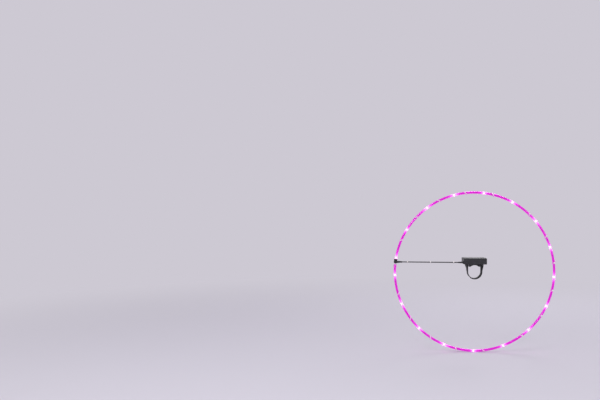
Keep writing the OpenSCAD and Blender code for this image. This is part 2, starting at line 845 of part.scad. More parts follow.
light_tube();
string_wires();
led_chips();
led_beads();
inlet_elbow();
end_plug();
spoke_ties();
lead_cable();
lead_ties();
lead_gland();
battery_case();
switch_deck();
deck_screws();
circuit_board();
switch_body();
driver_parts();
lead_cores();
return_wire();
cell_1();
cell_2();
cell_3();
contact_springs();
left_bridge();
right_bridge();
minus_contact();
plus_contact();
saddle_pad();
hub_strap();
battery_cover();
power_button();
switch_plunger();
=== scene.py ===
# Spoke wheel light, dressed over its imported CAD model. Metres, in the frame of that model:
# origin in the middle of the ring, +Y along its axis, +Z up, the ring in the XZ plane.
import json
import math

import bmesh
import bpy
from mathutils import Euler, Matrix, Vector


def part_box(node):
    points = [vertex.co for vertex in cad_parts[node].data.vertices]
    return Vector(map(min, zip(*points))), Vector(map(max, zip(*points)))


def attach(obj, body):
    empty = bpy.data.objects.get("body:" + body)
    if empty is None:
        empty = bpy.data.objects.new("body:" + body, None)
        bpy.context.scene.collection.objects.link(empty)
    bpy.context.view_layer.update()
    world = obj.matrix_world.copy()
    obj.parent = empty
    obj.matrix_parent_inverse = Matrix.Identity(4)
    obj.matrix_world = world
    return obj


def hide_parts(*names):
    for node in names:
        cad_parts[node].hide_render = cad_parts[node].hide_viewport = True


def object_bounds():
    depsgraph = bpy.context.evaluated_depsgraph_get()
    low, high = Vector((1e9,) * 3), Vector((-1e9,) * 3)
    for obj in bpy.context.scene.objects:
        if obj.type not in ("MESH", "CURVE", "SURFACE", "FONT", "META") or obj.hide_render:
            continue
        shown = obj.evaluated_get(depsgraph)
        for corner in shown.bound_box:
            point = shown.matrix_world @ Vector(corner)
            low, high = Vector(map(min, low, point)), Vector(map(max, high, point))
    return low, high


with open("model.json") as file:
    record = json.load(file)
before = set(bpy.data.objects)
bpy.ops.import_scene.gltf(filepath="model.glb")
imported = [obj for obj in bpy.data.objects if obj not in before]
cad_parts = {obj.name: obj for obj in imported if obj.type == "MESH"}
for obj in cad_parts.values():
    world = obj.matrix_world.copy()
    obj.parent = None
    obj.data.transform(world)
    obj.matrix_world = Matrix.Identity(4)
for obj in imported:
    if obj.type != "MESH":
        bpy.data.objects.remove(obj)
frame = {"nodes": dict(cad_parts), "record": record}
cad_low, cad_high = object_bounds()
scene = bpy.context.scene
scene.view_settings.view_transform = "Standard"

# Camera: stands where the photograph was taken from, level and nearly square to the ring, and
# keeps the photograph's framing, in which this ring is on the right.
photo_width = 600
focal_pixels = 779
film_width = 36
camera_place = (-0.487, -2.621, 0.239)
camera_turn = math.radians(2.08)
camera = bpy.data.objects.new("camera", bpy.data.cameras.new("camera"))
camera.data.sensor_width = film_width
camera.data.lens = film_width * focal_pixels / photo_width
camera.location = camera_place
camera.rotation_euler = (math.pi / 2, 0, camera_turn)
scene.collection.objects.link(camera)
scene.camera = camera


# Studio: a pale round cove whose floor the ring just touches, a large soft lamp on the left, a
# weaker one on the right and one behind, and an even sky. Away from the ring the cove shows its
# own pale colour to the camera, so that no horizon crosses the picture.
def hex_colour(code):
    """An sRGB hex colour as linear RGBA."""
    parts = [int(code[i:i + 2], 16) / 255 for i in (1, 3, 5)]
    return [c / 12.92 if c <= 0.04045 else ((c + 0.055) / 1.055) ** 2.4 for c in parts] + [1]


def add(tree, kind, sockets=(), **options):
    """Adds a node to a tree. Sockets are its inputs, each a value or another node's output."""
    node = tree.nodes.new(kind)
    for option, value in options.items():
        setattr(node, option, value)
    for socket, value in dict(sockets).items():
        if isinstance(value, bpy.types.NodeSocket):
            tree.links.new(value, node.inputs[socket])
        else:
            node.inputs[socket].default_value = value
    return node


def new_finish(name, sockets):
    """A material of one Principled shader with these inputs, and its tree and shader."""
    material = bpy.data.materials.new(name)
    material.use_nodes = True
    tree = material.node_tree
    tree.nodes.clear()
    shader = add(tree, "ShaderNodeBsdfPrincipled", sockets)
    add(tree, "ShaderNodeOutputMaterial", {"Surface": shader.outputs["BSDF"]})
    return material, tree, shader


def lathe(bm, profile, steps):
    """Turns a profile of (radius, height) points about Z and closes it at the axis."""
    rings = []
    for radius, height in profile:
        if radius == 0:
            rings.append([bm.verts.new((0, 0, height))])
            continue
        turns = [2 * math.pi * i / steps for i in range(steps)]
        rings.append([bm.verts.new((radius * math.cos(a), radius * math.sin(a), height)) for a in turns])
    for low, high in zip(rings, rings[1:]):
        for i in range(steps):
            j = (i + 1) % steps
            corners = [low[i % len(low)], low[j % len(low)], high[j % len(high)], high[i % len(high)]]
            bm.faces.new(list(dict.fromkeys(corners)))


def arc(middle, radius, start, end, steps):
    """Points of an arc in a plane, by its angles in degrees."""
    turns = [math.radians(start + (end - start) * i / steps) for i in range(steps + 1)]
    return [(middle[0] + radius * math.cos(a), middle[1] + radius * math.sin(a)) for a in turns]


sharp_edge = 40


def new_piece(name, bm, material, sharp=sharp_edge):
    """A mesh object from a bmesh, with smooth faces and its sharper edges, in degrees, kept."""
    bmesh.ops.recalc_face_normals(bm, faces=bm.faces)
    mesh = bpy.data.meshes.new(name)
    bm.to_mesh(mesh)
    bm.free()
    mesh.shade_smooth()
    mesh.set_sharp_from_angle(angle=math.radians(sharp))
    mesh.materials.append(material)
    obj = bpy.data.objects.new(name, mesh)
    scene.collection.objects.link(obj)
    return obj


cove_radius, cove_bend, cove_height = 3.6, 0.9, 2.2
cove_sides, bend_steps = 96, 12
floor_height = cad_low.z
floor_middle = 0.5
shaded_reach, even_reach = 0.7, 2.6
pale = hex_colour("#cdc9d3")
# Studio paint: matt and pale, so the floor keeps the ring's shadow and its faint magenta light.
cove_finish, cove_tree, cove_shader = new_finish("Pale studio paint", {
    "Base Color": pale, "Roughness": 0.9})
cove_place = add(cove_tree, "ShaderNodeTexCoord")
cove_reach = add(cove_tree, "ShaderNodeVectorMath", {0: cove_place.outputs["Object"]}, operation="LENGTH")
cove_far = add(cove_tree, "ShaderNodeMapRange", {
    "Value": cove_reach.outputs["Value"], "From Min": shaded_reach, "From Max": even_reach},
    interpolation_type="SMOOTHSTEP")
cove_ray = add(cove_tree, "ShaderNodeLightPath")
cove_seen = add(cove_tree, "ShaderNodeMath", {
    0: cove_ray.outputs["Is Camera Ray"], 1: cove_ray.outputs["Is Glossy Ray"]}, operation="MAXIMUM")
cove_seen = add(cove_tree, "ShaderNodeMath", {
    0: cove_seen.outputs["Value"], 1: cove_ray.outputs["Is Transmission Ray"]}, operation="MAXIMUM")
cove_even = add(cove_tree, "ShaderNodeMath", {
    0: cove_far.outputs["Result"], 1: cove_seen.outputs["Value"]}, operation="MULTIPLY")
cove_glow = add(cove_tree, "ShaderNodeEmission", {"Color": pale})
cove_mix = add(cove_tree, "ShaderNodeMixShader", {
    "Fac": cove_even.outputs["Value"], 1: cove_shader.outputs["BSDF"], 2: cove_glow.outputs["Emission"]})
cove_tree.links.new(cove_mix.outputs["Shader"], cove_tree.nodes["Material Output"].inputs["Surface"])
bend_middle = (cove_radius - cove_bend, floor_height + cove_bend)
cove_profile = [(0, floor_height), (floor_middle, floor_height)]
cove_profile += arc(bend_middle, cove_bend, -90, 0, bend_steps)
cove_profile.append((cove_radius, floor_height + cove_height))
cove_mesh = bmesh.new()
lathe(cove_mesh, cove_profile, cove_sides)
cove = new_piece("studio_cove", cove_mesh, cove_finish, sharp=60)

# Each lamp's place and width in metres, and its power in watts. All face the middle of the ring.
lamps = {"key": ((-1.5, -2.0, 1.7), 1.5, 42), "fill": ((1.9, -1.7, 0.8), 1.4, 16),
         "back": ((0.8, 2.1, 1.8), 1.2, 26)}
for lamp_name, (place, width, power) in lamps.items():
    lamp = bpy.data.objects.new(lamp_name, bpy.data.lights.new(lamp_name, "AREA"))
    lamp.data.size = width
    lamp.data.energy = power
    lamp.location = place
    lamp.rotation_euler = (-Vector(place)).to_track_quat("-Z", "Y").to_euler()
    scene.collection.objects.link(lamp)
sky_strength = 0.6
sky = bpy.data.worlds.new("soft sky")
scene.world = sky
sky.use_nodes = True
sky_tree = sky.node_tree
sky_tree.nodes.clear()
sky_ray = add(sky_tree, "ShaderNodeLightPath")
sky_light = add(sky_tree, "ShaderNodeBackground", {
    "Color": hex_colour("#f2f2f6"), "Strength": sky_strength})
sky_seen = add(sky_tree, "ShaderNodeBackground", {"Color": pale})
sky_mix = add(sky_tree, "ShaderNodeMixShader", {
    "Fac": sky_ray.outputs["Is Camera Ray"], 1: sky_light.outputs["Background"],
    2: sky_seen.outputs["Background"]})
add(sky_tree, "ShaderNodeOutputWorld", {"Surface": sky_mix.outputs["Shader"]})


# String wires: two enamelled copper wires that run side by side through the tube, from the inlet
# elbow to the plug at the far end, and carry the LEDs between them.
mm = 0.001
ring_radius = 264 * mm
lead_height = 31.7 * mm
elbow_angle = math.pi - math.asin(lead_height / ring_radius)
live_stop, far_stop = 3.3 * mm, 9.45 * mm
live_angle = elbow_angle + 2 * math.pi - live_stop / ring_radius
far_angle = elbow_angle + far_stop / ring_radius
plug_length = 9 * mm
wire_radius = 0.45 * mm
wire_offset = 2.05 * mm


def new_tree(name, sizes):
    """A Geometry Nodes tree with these named inputs, and the outputs of its input node."""
    tree = bpy.data.node_groups.new(name, "GeometryNodeTree")
    tree.interface.new_socket("Geometry", in_out="OUTPUT", socket_type="NodeSocketGeometry")
    tree.interface.new_socket("Geometry", in_out="INPUT", socket_type="NodeSocketGeometry")
    for size, kind in sizes.items():
        tree.interface.new_socket(size, in_out="INPUT", socket_type="NodeSocket" + kind)
    return tree, add(tree, "NodeGroupInput").outputs


def end_tree(tree, geometry, material):
    """Ends a tree in real meshes that carry the material."""
    real = add(tree, "GeometryNodeRealizeInstances", {"Geometry": geometry})
    dressed = add(tree, "GeometryNodeSetMaterial",
                  {"Geometry": real.outputs["Geometry"], "Material": material})
    add(tree, "NodeGroupOutput", {"Geometry": dressed.outputs["Geometry"]})


def settle(obj, modifier):
    """Turns an object into the plain mesh that its modifier makes of it."""
    depsgraph = bpy.context.evaluated_depsgraph_get()
    mesh = bpy.data.meshes.new_from_object(
        obj.evaluated_get(depsgraph), preserve_all_data_layers=True, depsgraph=depsgraph)
    obj.modifiers.remove(modifier)
    obj.data = mesh


def grow(name, tree, start, sizes):
    """Runs a tree on a mesh with these inputs and keeps the result as a plain mesh object."""
    obj = bpy.data.objects.new(name, start)
    scene.collection.objects.link(obj)
    maker = obj.modifiers.new(tree.name, "NODES")
    maker.node_group = tree
    for item in tree.interface.items_tree:
        if item.in_out == "INPUT" and item.name in sizes:
            maker[item.identifier] = sizes[item.name]
    settle(obj, maker)
    obj.data.materials.clear()
    obj.data.materials.append(sizes["Material"])
    obj.data.name = name
    return obj


def grain(name, dark, light, size, rough, depth, sockets=()):
    """A finish whose colour and roughness wander between two values over patches of this size, and
    whose surface rises and falls by this depth."""
    material, tree, shader = new_finish(name, sockets)
    place = add(tree, "ShaderNodeTexCoord")
    patches = add(tree, "ShaderNodeTexNoise", {"Vector": place.outputs["Object"], "Scale": 1 / size})
    tint = add(tree, "ShaderNodeMixRGB", {
        "Fac": patches.outputs["Fac"], "Color1": hex_colour(dark), "Color2": hex_colour(light)})
    gloss = add(tree, "ShaderNodeMapRange", {
        "Value": patches.outputs["Fac"], "To Min": rough[0], "To Max": rough[1]})
    relief = add(tree, "ShaderNodeBump", {"Height": patches.outputs["Fac"], "Distance": depth})
    tree.links.new(tint.outputs["Color"], shader.inputs["Base Color"])
    tree.links.new(gloss.outputs["Result"], shader.inputs["Roughness"])
    tree.links.new(relief.outputs["Normal"], shader.inputs["Normal"])
    return material, tree, shader


sweep_tree, sweep = new_tree("Sweep round the ring", {
    "Ring radius": "Float", "Section radius": "Float", "Side offset": "Float", "Start": "Float",
    "Sweep": "Float", "Steps": "Int", "Sides": "Int", "Closed ends": "Bool", "Material": "Material"})
sweep_arc = add(sweep_tree, "GeometryNodeCurveArc", {
    "Resolution": sweep["Steps"], "Radius": sweep["Ring radius"], "Start Angle": sweep["Start"],
    "Sweep Angle": sweep["Sweep"]}, mode="RADIUS")
sweep_length = add(sweep_tree, "GeometryNodeSplineParameter")
sweep_run = add(sweep_tree, "GeometryNodeStoreNamedAttribute", {
    "Geometry": sweep_arc.outputs["Curve"], "Name": "run", "Value": sweep_length.outputs["Length"]},
    data_type="FLOAT", domain="POINT")
sweep_place = add(sweep_tree, "ShaderNodeCombineXYZ", {"Y": sweep["Side offset"]})
sweep_upright = add(sweep_tree, "GeometryNodeTransform", {
    "Geometry": sweep_run.outputs["Geometry"], "Translation": sweep_place.outputs["Vector"],
    "Rotation": (math.pi / 2, 0, 0)})
sweep_section = add(sweep_tree, "GeometryNodeCurvePrimitiveCircle", {
    "Resolution": sweep["Sides"], "Radius": sweep["Section radius"]}, mode="RADIUS")
sweep_skin = add(sweep_tree, "GeometryNodeCurveToMesh", {
    "Curve": sweep_upright.outputs["Geometry"], "Profile Curve": sweep_section.outputs["Curve"],
    "Fill Caps": sweep["Closed ends"]})
sweep_smooth = add(sweep_tree, "GeometryNodeSetShadeSmooth", {"Geometry": sweep_skin.outputs["Mesh"]})
end_tree(sweep_tree, sweep_smooth.outputs["Geometry"], sweep["Material"])

# Enamelled copper: a bright metal under a thin clear varnish, so brown-red with a soft gloss.
copper_finish = grain("Enamelled copper", "#8a4a26", "#c07a48", 3 * mm, (0.22, 0.34), 0.01 * mm,
                      {"Metallic": 1, "Coat Weight": 0.5, "Coat Roughness": 0.12})[0]
wire_end = far_angle + plug_length / ring_radius
for side, offset in (("near", -wire_offset), ("far", wire_offset)):
    wire = grow("string_wire_" + side, sweep_tree, bpy.data.meshes.new("wire_start"), {
        "Ring radius": ring_radius, "Section radius": wire_radius, "Side offset": offset,
        "Start": live_angle, "Sweep": wire_end - live_angle, "Steps": 360, "Sides": 10,
        "Closed ends": True, "Material": copper_finish})
    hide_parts("string_wires")
    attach(wire, "light_set")

# LED chips: 17 small ceramic packages with plated ends, each soldered across the two wires, one
# every 100 mm along the tube.
led_count = 17
led_pitch = 100 * mm
first_led = 15 * mm
first_angle = elbow_angle - first_led / ring_radius
chip_size = Vector((0.8, 1.6, 3.12)) * mm
chip_end = 0.5 * mm
chip_edge, end_edge = 0.1 * mm, 0.12 * mm
ceramic_grain = 0.4 * mm

along_tree, along = new_tree("Set along the ring", {
    "Count": "Int", "Ring radius": "Float", "First angle": "Float", "Pitch angle": "Float",
    "Material": "Material"})
along_index = add(along_tree, "GeometryNodeInputIndex")
along_steps = add(along_tree, "ShaderNodeMath", {
    0: along_index.outputs["Index"], 1: along["Pitch angle"]}, operation="MULTIPLY")
along_angle = add(along_tree, "ShaderNodeMath", {
    0: along["First angle"], 1: along_steps.outputs["Value"]}, operation="SUBTRACT")
along_cos = add(along_tree, "ShaderNodeMath", {0: along_angle.outputs["Value"]}, operation="COSINE")
along_sin = add(along_tree, "ShaderNodeMath", {0: along_angle.outputs["Value"]}, operation="SINE")
along_way = add(along_tree, "ShaderNodeCombineXYZ", {
    "X": along_cos.outputs["Value"], "Z": along_sin.outputs["Value"]})
along_place = add(along_tree, "ShaderNodeVectorMath", {
    0: along_way.outputs["Vector"], "Scale": along["Ring radius"]}, operation="SCALE")
along_points = add(along_tree, "GeometryNodePoints", {
    "Count": along["Count"], "Position": along_place.outputs["Vector"]})
along_lean = add(along_tree, "ShaderNodeMath", {0: along_angle.outputs["Value"], 1: -1},
                 operation="MULTIPLY")
along_turn = add(along_tree, "ShaderNodeCombineXYZ", {"X": math.pi / 2, "Y": along_lean.outputs["Value"]})
along_set = add(along_tree, "GeometryNodeInstanceOnPoints", {
    "Points": along_points.outputs["Points"], "Instance": along["Geometry"],
    "Rotation": along_turn.outputs["Vector"]})
along_number = add(along_tree, "GeometryNodeStoreNamedAttribute", {
    "Geometry": along_set.outputs["Instances"], "Name": "led", "Value": along_index.outputs["Index"]},
    data_type="FLOAT", domain="INSTANCE")
end_tree(along_tree, along_number.outputs["Geometry"], along["Material"])
along_ring = {"Count": led_count, "Ring radius": ring_radius, "First angle": first_angle,
              "Pitch angle": led_pitch / ring_radius}


def box(bm, size, middle=(0, 0, 0), bevel=0.0, steps=2):
    """A box of this size about a middle, with its edges rounded."""
    place = Matrix.Translation(middle) @ Matrix.Diagonal((*size, 1))
    made = bmesh.ops.create_cube(bm, size=1, matrix=place)
    edges = list({edge for vert in made["verts"] for edge in vert.link_edges})
    if bevel:
        bmesh.ops.bevel(bm, geom=edges, offset=bevel, segments=steps, affect="EDGES", profile=0.5)


# LED ceramic: fired white, and lit, so it shows as a white core in its drop of resin.
chip_finish, chip_tree, chip_shader = new_finish("Lit LED ceramic", {
    "Base Color": hex_colour("#fff4e6"), "Roughness": 0.4, "Emission Color": hex_colour("#fff0fc")})
chip_place = add(chip_tree, "ShaderNodeTexCoord")
chip_speckle = add(chip_tree, "ShaderNodeTexNoise", {
    "Vector": chip_place.outputs["Object"], "Scale": 1 / ceramic_grain})
chip_glow = add(chip_tree, "ShaderNodeMapRange", {
    "Value": chip_speckle.outputs["Fac"], "To Min": 4, "To Max": 6})
chip_tree.links.new(chip_glow.outputs["Result"], chip_shader.inputs["Emission Strength"])
chip_mesh = bmesh.new()
box(chip_mesh, chip_size - Vector((0, 0, 2 * chip_end)), bevel=chip_edge)
end_middle = (chip_size.z - chip_end) / 2
for side in (-1, 1):
    box(chip_mesh, (chip_size.x, chip_size.y, chip_end), (0, 0, side * end_middle), bevel=end_edge)
one_chip = new_piece("led_chip", chip_mesh, chip_finish)
chips = grow("led_chips_lit", along_tree, one_chip.data, {**along_ring, "Material": chip_finish})
bpy.data.objects.remove(one_chip)
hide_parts("led_chips")
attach(chips, "light_set")

# Resin drops: clear epoxy laid over each chip and set by light, so each is a long smooth drop
# between the wires that spreads the chip's light.
drop_radius = 1.55 * mm
drop_length = 7 * mm
drop_taper = 0.06
drop_steps, drop_sides = 16, 24
faintest_led = 0.55


def led_power(tree, number):
    """How bright the LED of this number is: they are never quite alike, and each faces its own way."""
    chance = add(tree, "ShaderNodeTexWhiteNoise", {"W": number}, noise_dimensions="1D")
    power = add(tree, "ShaderNodeMapRange", {
        "Value": chance.outputs["Value"], "To Min": faintest_led, "To Max": 1})
    return power.outputs["Result"]


drop_mesh = bmesh.new()
drop_profile = [(0, -drop_length / 2)]
for step in range(1, drop_steps):
    turn = math.pi * step / drop_steps
    fullness = (1 - drop_taper * math.cos(2 * turn)) / (1 + drop_taper)
    drop_profile.append((drop_radius * fullness * math.sin(turn), -drop_length / 2 * math.cos(turn)))
drop_profile.append((0, drop_length / 2))
lathe(drop_mesh, drop_profile, drop_sides)
bmesh.ops.rotate(drop_mesh, verts=drop_mesh.verts, matrix=Matrix.Rotation(-math.pi / 2, 3, "X"))
# Epoxy: clear and wet-looking; the light fades from the chip to the drop's ends.
drop_finish, drop_tree, drop_shader = new_finish("Lit clear epoxy", {
    "Base Color": hex_colour("#ffe6fb"), "Roughness": 0.06, "IOR": 1.53, "Transmission Weight": 0.6,
    "Emission Color": hex_colour("#ffe9fd")})
one_drop = new_piece("led_drop", drop_mesh, drop_finish)
heart = one_drop.data.attributes.new("heart", "FLOAT", "POINT")
for vert in one_drop.data.vertices:
    heart.data[vert.index].value = 1 - abs(vert.co.y) / (drop_length / 2)
drop_heart = add(drop_tree, "ShaderNodeAttribute", attribute_name="heart")
drop_fade = add(drop_tree, "ShaderNodeMapRange", {
    "Value": drop_heart.outputs["Fac"], "To Min": 1.5, "To Max": 7}, interpolation_type="SMOOTHSTEP")
drop_number = add(drop_tree, "ShaderNodeAttribute", attribute_name="led")
drop_glow = add(drop_tree, "ShaderNodeMath", {
    0: drop_fade.outputs["Result"], 1: led_power(drop_tree, drop_number.outputs["Fac"])},
    operation="MULTIPLY")
drop_tree.links.new(drop_glow.outputs["Value"], drop_shader.inputs["Emission Strength"])
drops = grow("led_drops", along_tree, one_drop.data, {**along_ring, "Material": drop_finish})
bpy.data.objects.remove(one_drop)
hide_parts("led_beads")
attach(drops, "light_set")

# Light tube: extruded clear PVC, 8 mm across with a 1.2 mm wall, bent to a ring whose ends nearly
# meet. It carries the LEDs' light along its wall and glows from end to end.
tube_radius = 4 * mm
tube_wall = 1.2 * mm
bright_reach, glow_reach = 2 * mm, 14 * mm
streak = 14 * mm
streak_dim, streak_bright = 0.8, 1.2


def lit_pvc(name, sockets, light_tints, glows, strengths):
    """Clear PVC that glows along its run. The plastic's base colours, which are painted light that fills
    it, and its glow's colours are set by their distance from an LED in millimetres, and the strengths are
    the glow's beside and between LEDs."""
    material, tree, shader = new_finish(name, {"IOR": 1.53, **sockets})
    run = add(tree, "ShaderNodeAttribute", attribute_name="run")
    from_first = add(tree, "ShaderNodeMath", {
        0: run.outputs["Fac"], 1: first_led - live_stop}, operation="SUBTRACT")
    steps = add(tree, "ShaderNodeMath", {0: from_first.outputs["Value"], 1: led_pitch}, operation="DIVIDE")
    number = add(tree, "ShaderNodeMath", {0: steps.outputs["Value"]}, operation="ROUND")
    off = add(tree, "ShaderNodeMath", {
        0: steps.outputs["Value"], 1: number.outputs["Value"]}, operation="SUBTRACT")
    distance = add(tree, "ShaderNodeMath", {0: off.outputs["Value"]}, operation="ABSOLUTE")
    dimmed = add(tree, "ShaderNodeMath", {
        0: distance.outputs["Value"], 1: led_power(tree, number.outputs["Value"])}, operation="DIVIDE")
    for socket, colours in (("Base Color", light_tints), ("Emission Color", glows)):
        fade = add(tree, "ShaderNodeValToRGB", {"Fac": dimmed.outputs["Value"]})
        stops = fade.color_ramp.elements
        stops.remove(stops[1])
        for reach, colour in colours.items():
            stop = stops.new(reach * mm / led_pitch) if reach else stops[0]
            stop.color = hex_colour(colour)
        tree.links.new(fade.outputs["Color"], shader.inputs[socket])
    falling = add(tree, "ShaderNodeMapRange", {
        "Value": dimmed.outputs["Value"], "From Min": bright_reach / led_pitch,
        "From Max": glow_reach / led_pitch, "To Min": strengths[0], "To Max": strengths[1]},
        interpolation_type="SMOOTHSTEP")
    place = add(tree, "ShaderNodeTexCoord")
    streaks = add(tree, "ShaderNodeTexNoise", {"Vector": place.outputs["Object"], "Scale": 1 / streak})
    uneven = add(tree, "ShaderNodeMapRange", {
        "Value": streaks.outputs["Fac"], "To Min": streak_dim, "To Max": streak_bright})
    strength = add(tree, "ShaderNodeMath", {
        0: falling.outputs["Result"], 1: uneven.outputs["Result"]}, operation="MULTIPLY")
    tree.links.new(strength.outputs["Value"], shader.inputs["Emission Strength"])
    return material


# Clear PVC, lit: the plastic has no colour of its own; its tint here is the light that fills it. It
# fades from nearly white beside an LED to magenta between two, along the bore and the glossy skin.
skin_finish = lit_pvc(
    "Clear PVC tube, skin", {"Roughness": 0.07, "Transmission Weight": 0.88},
    {0: "#fccaf8", 9: "#f6a0f1", 20: "#ea56e4", 32: "#de28d6"},
    {0: "#ffb4fa", 10: "#ff96f9", 20: "#f250f0", 32: "#ee1ae6"}, (0.3, 0.1))
bore_finish = lit_pvc(
    "Clear PVC tube, lit bore", {"Roughness": 0.2, "Transmission Weight": 0.5},
    {0: "#ffdcff", 9: "#f0a0f0", 18: "#c230c0", 32: "#a814a6"},
    {0: "#ffbafb", 10: "#ff96f9", 20: "#f250f0", 32: "#ee1ae6"}, (0.8, 0.5))
tube = grow("light_tube_lit", sweep_tree, bpy.data.meshes.new("tube_start"), {
    "Ring radius": ring_radius, "Section radius": tube_radius, "Side offset": 0.0,
    "Start": live_angle, "Sweep": far_angle - live_angle, "Steps": 640, "Sides": 28,
    "Closed ends": False, "Material": skin_finish})
tube.data.materials.append(bore_finish)
tube_thickness = tube.modifiers.new("tube wall", "SOLIDIFY")
tube_thickness.thickness = tube_wall
tube_thickness.offset = -1
tube_thickness.use_even_offset = True
tube_thickness.material_offset = 1
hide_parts("light_tube")
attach(tube, "light_set")

# Inlet elbow, lead and gland: soft black PVC. The elbow is moulded over the tube's live end and
# the lead, the lead runs straight to the pack, and the gland is moulded on it at the case.


def dress(material, *nodes):
    """Gives CAD nodes, which stay as they are, a finish."""
    for node in nodes:
        frame["nodes"][node].material_slots[0].material = material


# Soft PVC: pigmented right through and a little waxy, with a fine mould grain.
pvc_finish = grain("Soft black PVC", "#0b0b0d", "#1a1a1d", 0.7 * mm, (0.36, 0.5), 0.02 * mm)[0]
dress(pvc_finish, "inlet_elbow", "lead_cable", "lead_gland")

# End plug: a clear PVC cap that is pushed on the far end of the tube, with a spigot in its bore.
# It is moulded, so clearer than the tube, and it shows a little of the tube's light.
plug_finish = grain("Clear moulded PVC", "#f3a6ee", "#fac6f6", 2 * mm, (0.04, 0.09), 0.01 * mm, {
    "IOR": 1.53, "Transmission Weight": 0.94, "Emission Color": hex_colour("#f02ae8"),
    "Emission Strength": 0.06})[0]
dress(plug_finish, "end_plug")

# Spoke ties: nylon cable ties moulded in one piece, 2.5 mm wide. Each is drawn slantwise round the
# tube, with room for a 2 mm rod beside it, through the ratchet in its own head, and trimmed short.
tie_width = 2.5 * mm
tie_thickness = 1.1 * mm
tie_gap = 0.2 * mm
tie_edge = 0.22 * mm
tie_corner = 1.4 * mm
tie_slant = math.radians(45)
least_roof = 0.05 * mm
head_size = Vector((4.62, 4.5, 3.41)) * mm
head_edge = 0.4 * mm
lip_length, lip_width, lip_root = 3.3 * mm, 1.9 * mm, 1.6 * mm
lip_height, lip_sink = 0.25 * mm, 0.2 * mm
tail_length, tail_cut = 1.65 * mm, 0.2 * mm
first_tooth, tooth_pitch = 0.3 * mm, 0.8 * mm
tooth_depth, tooth_rise = 0.25 * mm, 0.1 * mm
spoke_width = 2 * mm
lit_reach = 4 * mm
lit_share = 0.4


def band(bm, path, width, thickness, edge, closed=False):
    """A flat band along (x, z) points with its width along Y, and a UV map in metres along it and
    round its section."""
    half, deep = width / 2, thickness / 2
    section = [(-deep, edge - half), (edge - deep, -half), (deep - edge, -half), (deep, edge - half),
               (deep, half - edge), (deep - edge, half), (edge - deep, half), (-deep, half - edge)]
    sides = len(section)
    girth = [0]
    for a, b in zip(section, section[1:] + section[:1]):
        girth.append(girth[-1] + math.dist(a, b))
    rings, run = [], [0]
    for i, point in enumerate(path):
        before = path[i - 1] if closed or i else point
        after = path[(i + 1) % len(path)] if closed or i + 1 < len(path) else point
        way = Vector((after[0] - before[0], after[1] - before[1])).normalized()
        rings.append([bm.verts.new((point[0] + way.y * d, y, point[1] - way.x * d)) for d, y in section])
        run.append(run[-1] + math.dist(point, path[(i + 1) % len(path)]))
    uv = bm.loops.layers.uv.verify()
    for i in range(len(path) if closed else len(path) - 1):
        low, high = rings[i], rings[(i + 1) % len(path)]
        for j in range(sides):
            k = (j + 1) % sides
            face = bm.faces.new((low[j], low[k], high[k], high[j]))
            corners = ((run[i], girth[j]), (run[i], girth[j + 1]), (run[i + 1], girth[j + 1]),
                       (run[i + 1], girth[j]))
            for loop, corner in zip(face.loops, corners):
                loop[uv].uv = corner
    if not closed:
        bm.faces.new(rings[0])
        bm.faces.new(rings[-1])


def prism(bm, outline, width):
    """A solid with this (x, z) outline and its width along Y."""
    near, far = ([bm.verts.new((x, side * width / 2, z)) for x, z in outline] for side in (-1, 1))
    bm.faces.new(near)
    bm.faces.new(far)
    for i in range(len(outline)):
        bm.faces.new((near[i - 1], near[i], far[i], far[i - 1]))


def cable_tie(name, half, spread, material):
    """A tie round a rod and, on its +Z side, a thinner one: the loop, the head with the lip of its mouth,
    and the toothed tail, united to one moulding. The spread widens the loop where it crosses aslant."""
    peak = half + spoke_width + tie_gap
    lean = math.asin(half / peak)
    radius, top = half + tie_thickness / 2, peak + tie_thickness / 2
    roof = spread + (radius - tie_corner - (top - tie_corner) * math.sin(lean)) / math.cos(lean)
    roof = max(roof, least_roof)
    side = arc((spread, 0), radius, -90, math.degrees(lean), steps=10)
    side += arc((roof, top - tie_corner), tie_corner, math.degrees(lean), 90, steps=5)
    loop = side + [(-x, z) for x, z in reversed(side)]
    loop_mesh = bmesh.new()
    band(loop_mesh, loop, tie_width, tie_thickness, tie_edge, closed=True)
    tie = new_piece(name, loop_mesh, material)
    head_mesh = bmesh.new()
    head_top = -half - tie_thickness / 2
    head_end = head_top - head_size.z
    box(head_mesh, head_size, (0, 0, head_top - head_size.z / 2), head_edge)
    lip = [(-lip_width / 2, head_end - lip_height), (lip_width / 2, head_end - lip_height),
           (lip_root / 2, head_end + lip_sink), (-lip_root / 2, head_end + lip_sink)]
    prism(head_mesh, lip, lip_length)
    deep = tie_thickness / 2
    tail_end = head_end - tail_length
    tail = [(-deep, head_end + tie_thickness), (-deep, tail_end + tail_cut), (deep, tail_end)]
    tooth = tail_end + first_tooth
    while tooth < head_end:
        tail += [(deep, tooth), (deep - tooth_depth, tooth + tooth_rise)]
        tooth += tooth_pitch
    tail.append((deep, head_end + tie_thickness))
    prism(head_mesh, tail, tie_width)
    head = new_piece(name + "_head", head_mesh, material)
    moulding = tie.modifiers.new("moulded in one", "BOOLEAN")
    moulding.operation = "UNION"
    moulding.object = head
    moulding.use_self = True
    settle(tie, moulding)
    tie.data.set_sharp_from_angle(angle=math.radians(sharp_edge))
    bpy.data.objects.remove(head)
    return tie


seat_tree, seat = new_tree("Set on seats", {"Piece": "Object", "Material": "Material"})
seat_piece = add(seat_tree, "GeometryNodeObjectInfo", {"Object": seat["Piece"]})
seat_turn = add(seat_tree, "GeometryNodeInputNamedAttribute", {"Name": "turn"}, data_type="FLOAT_VECTOR")
seat_set = add(seat_tree, "GeometryNodeInstanceOnPoints", {
    "Points": seat["Geometry"], "Instance": seat_piece.outputs["Geometry"],
    "Rotation": seat_turn.outputs["Attribute"]})
end_tree(seat_tree, seat_set.outputs["Instances"], seat["Material"])


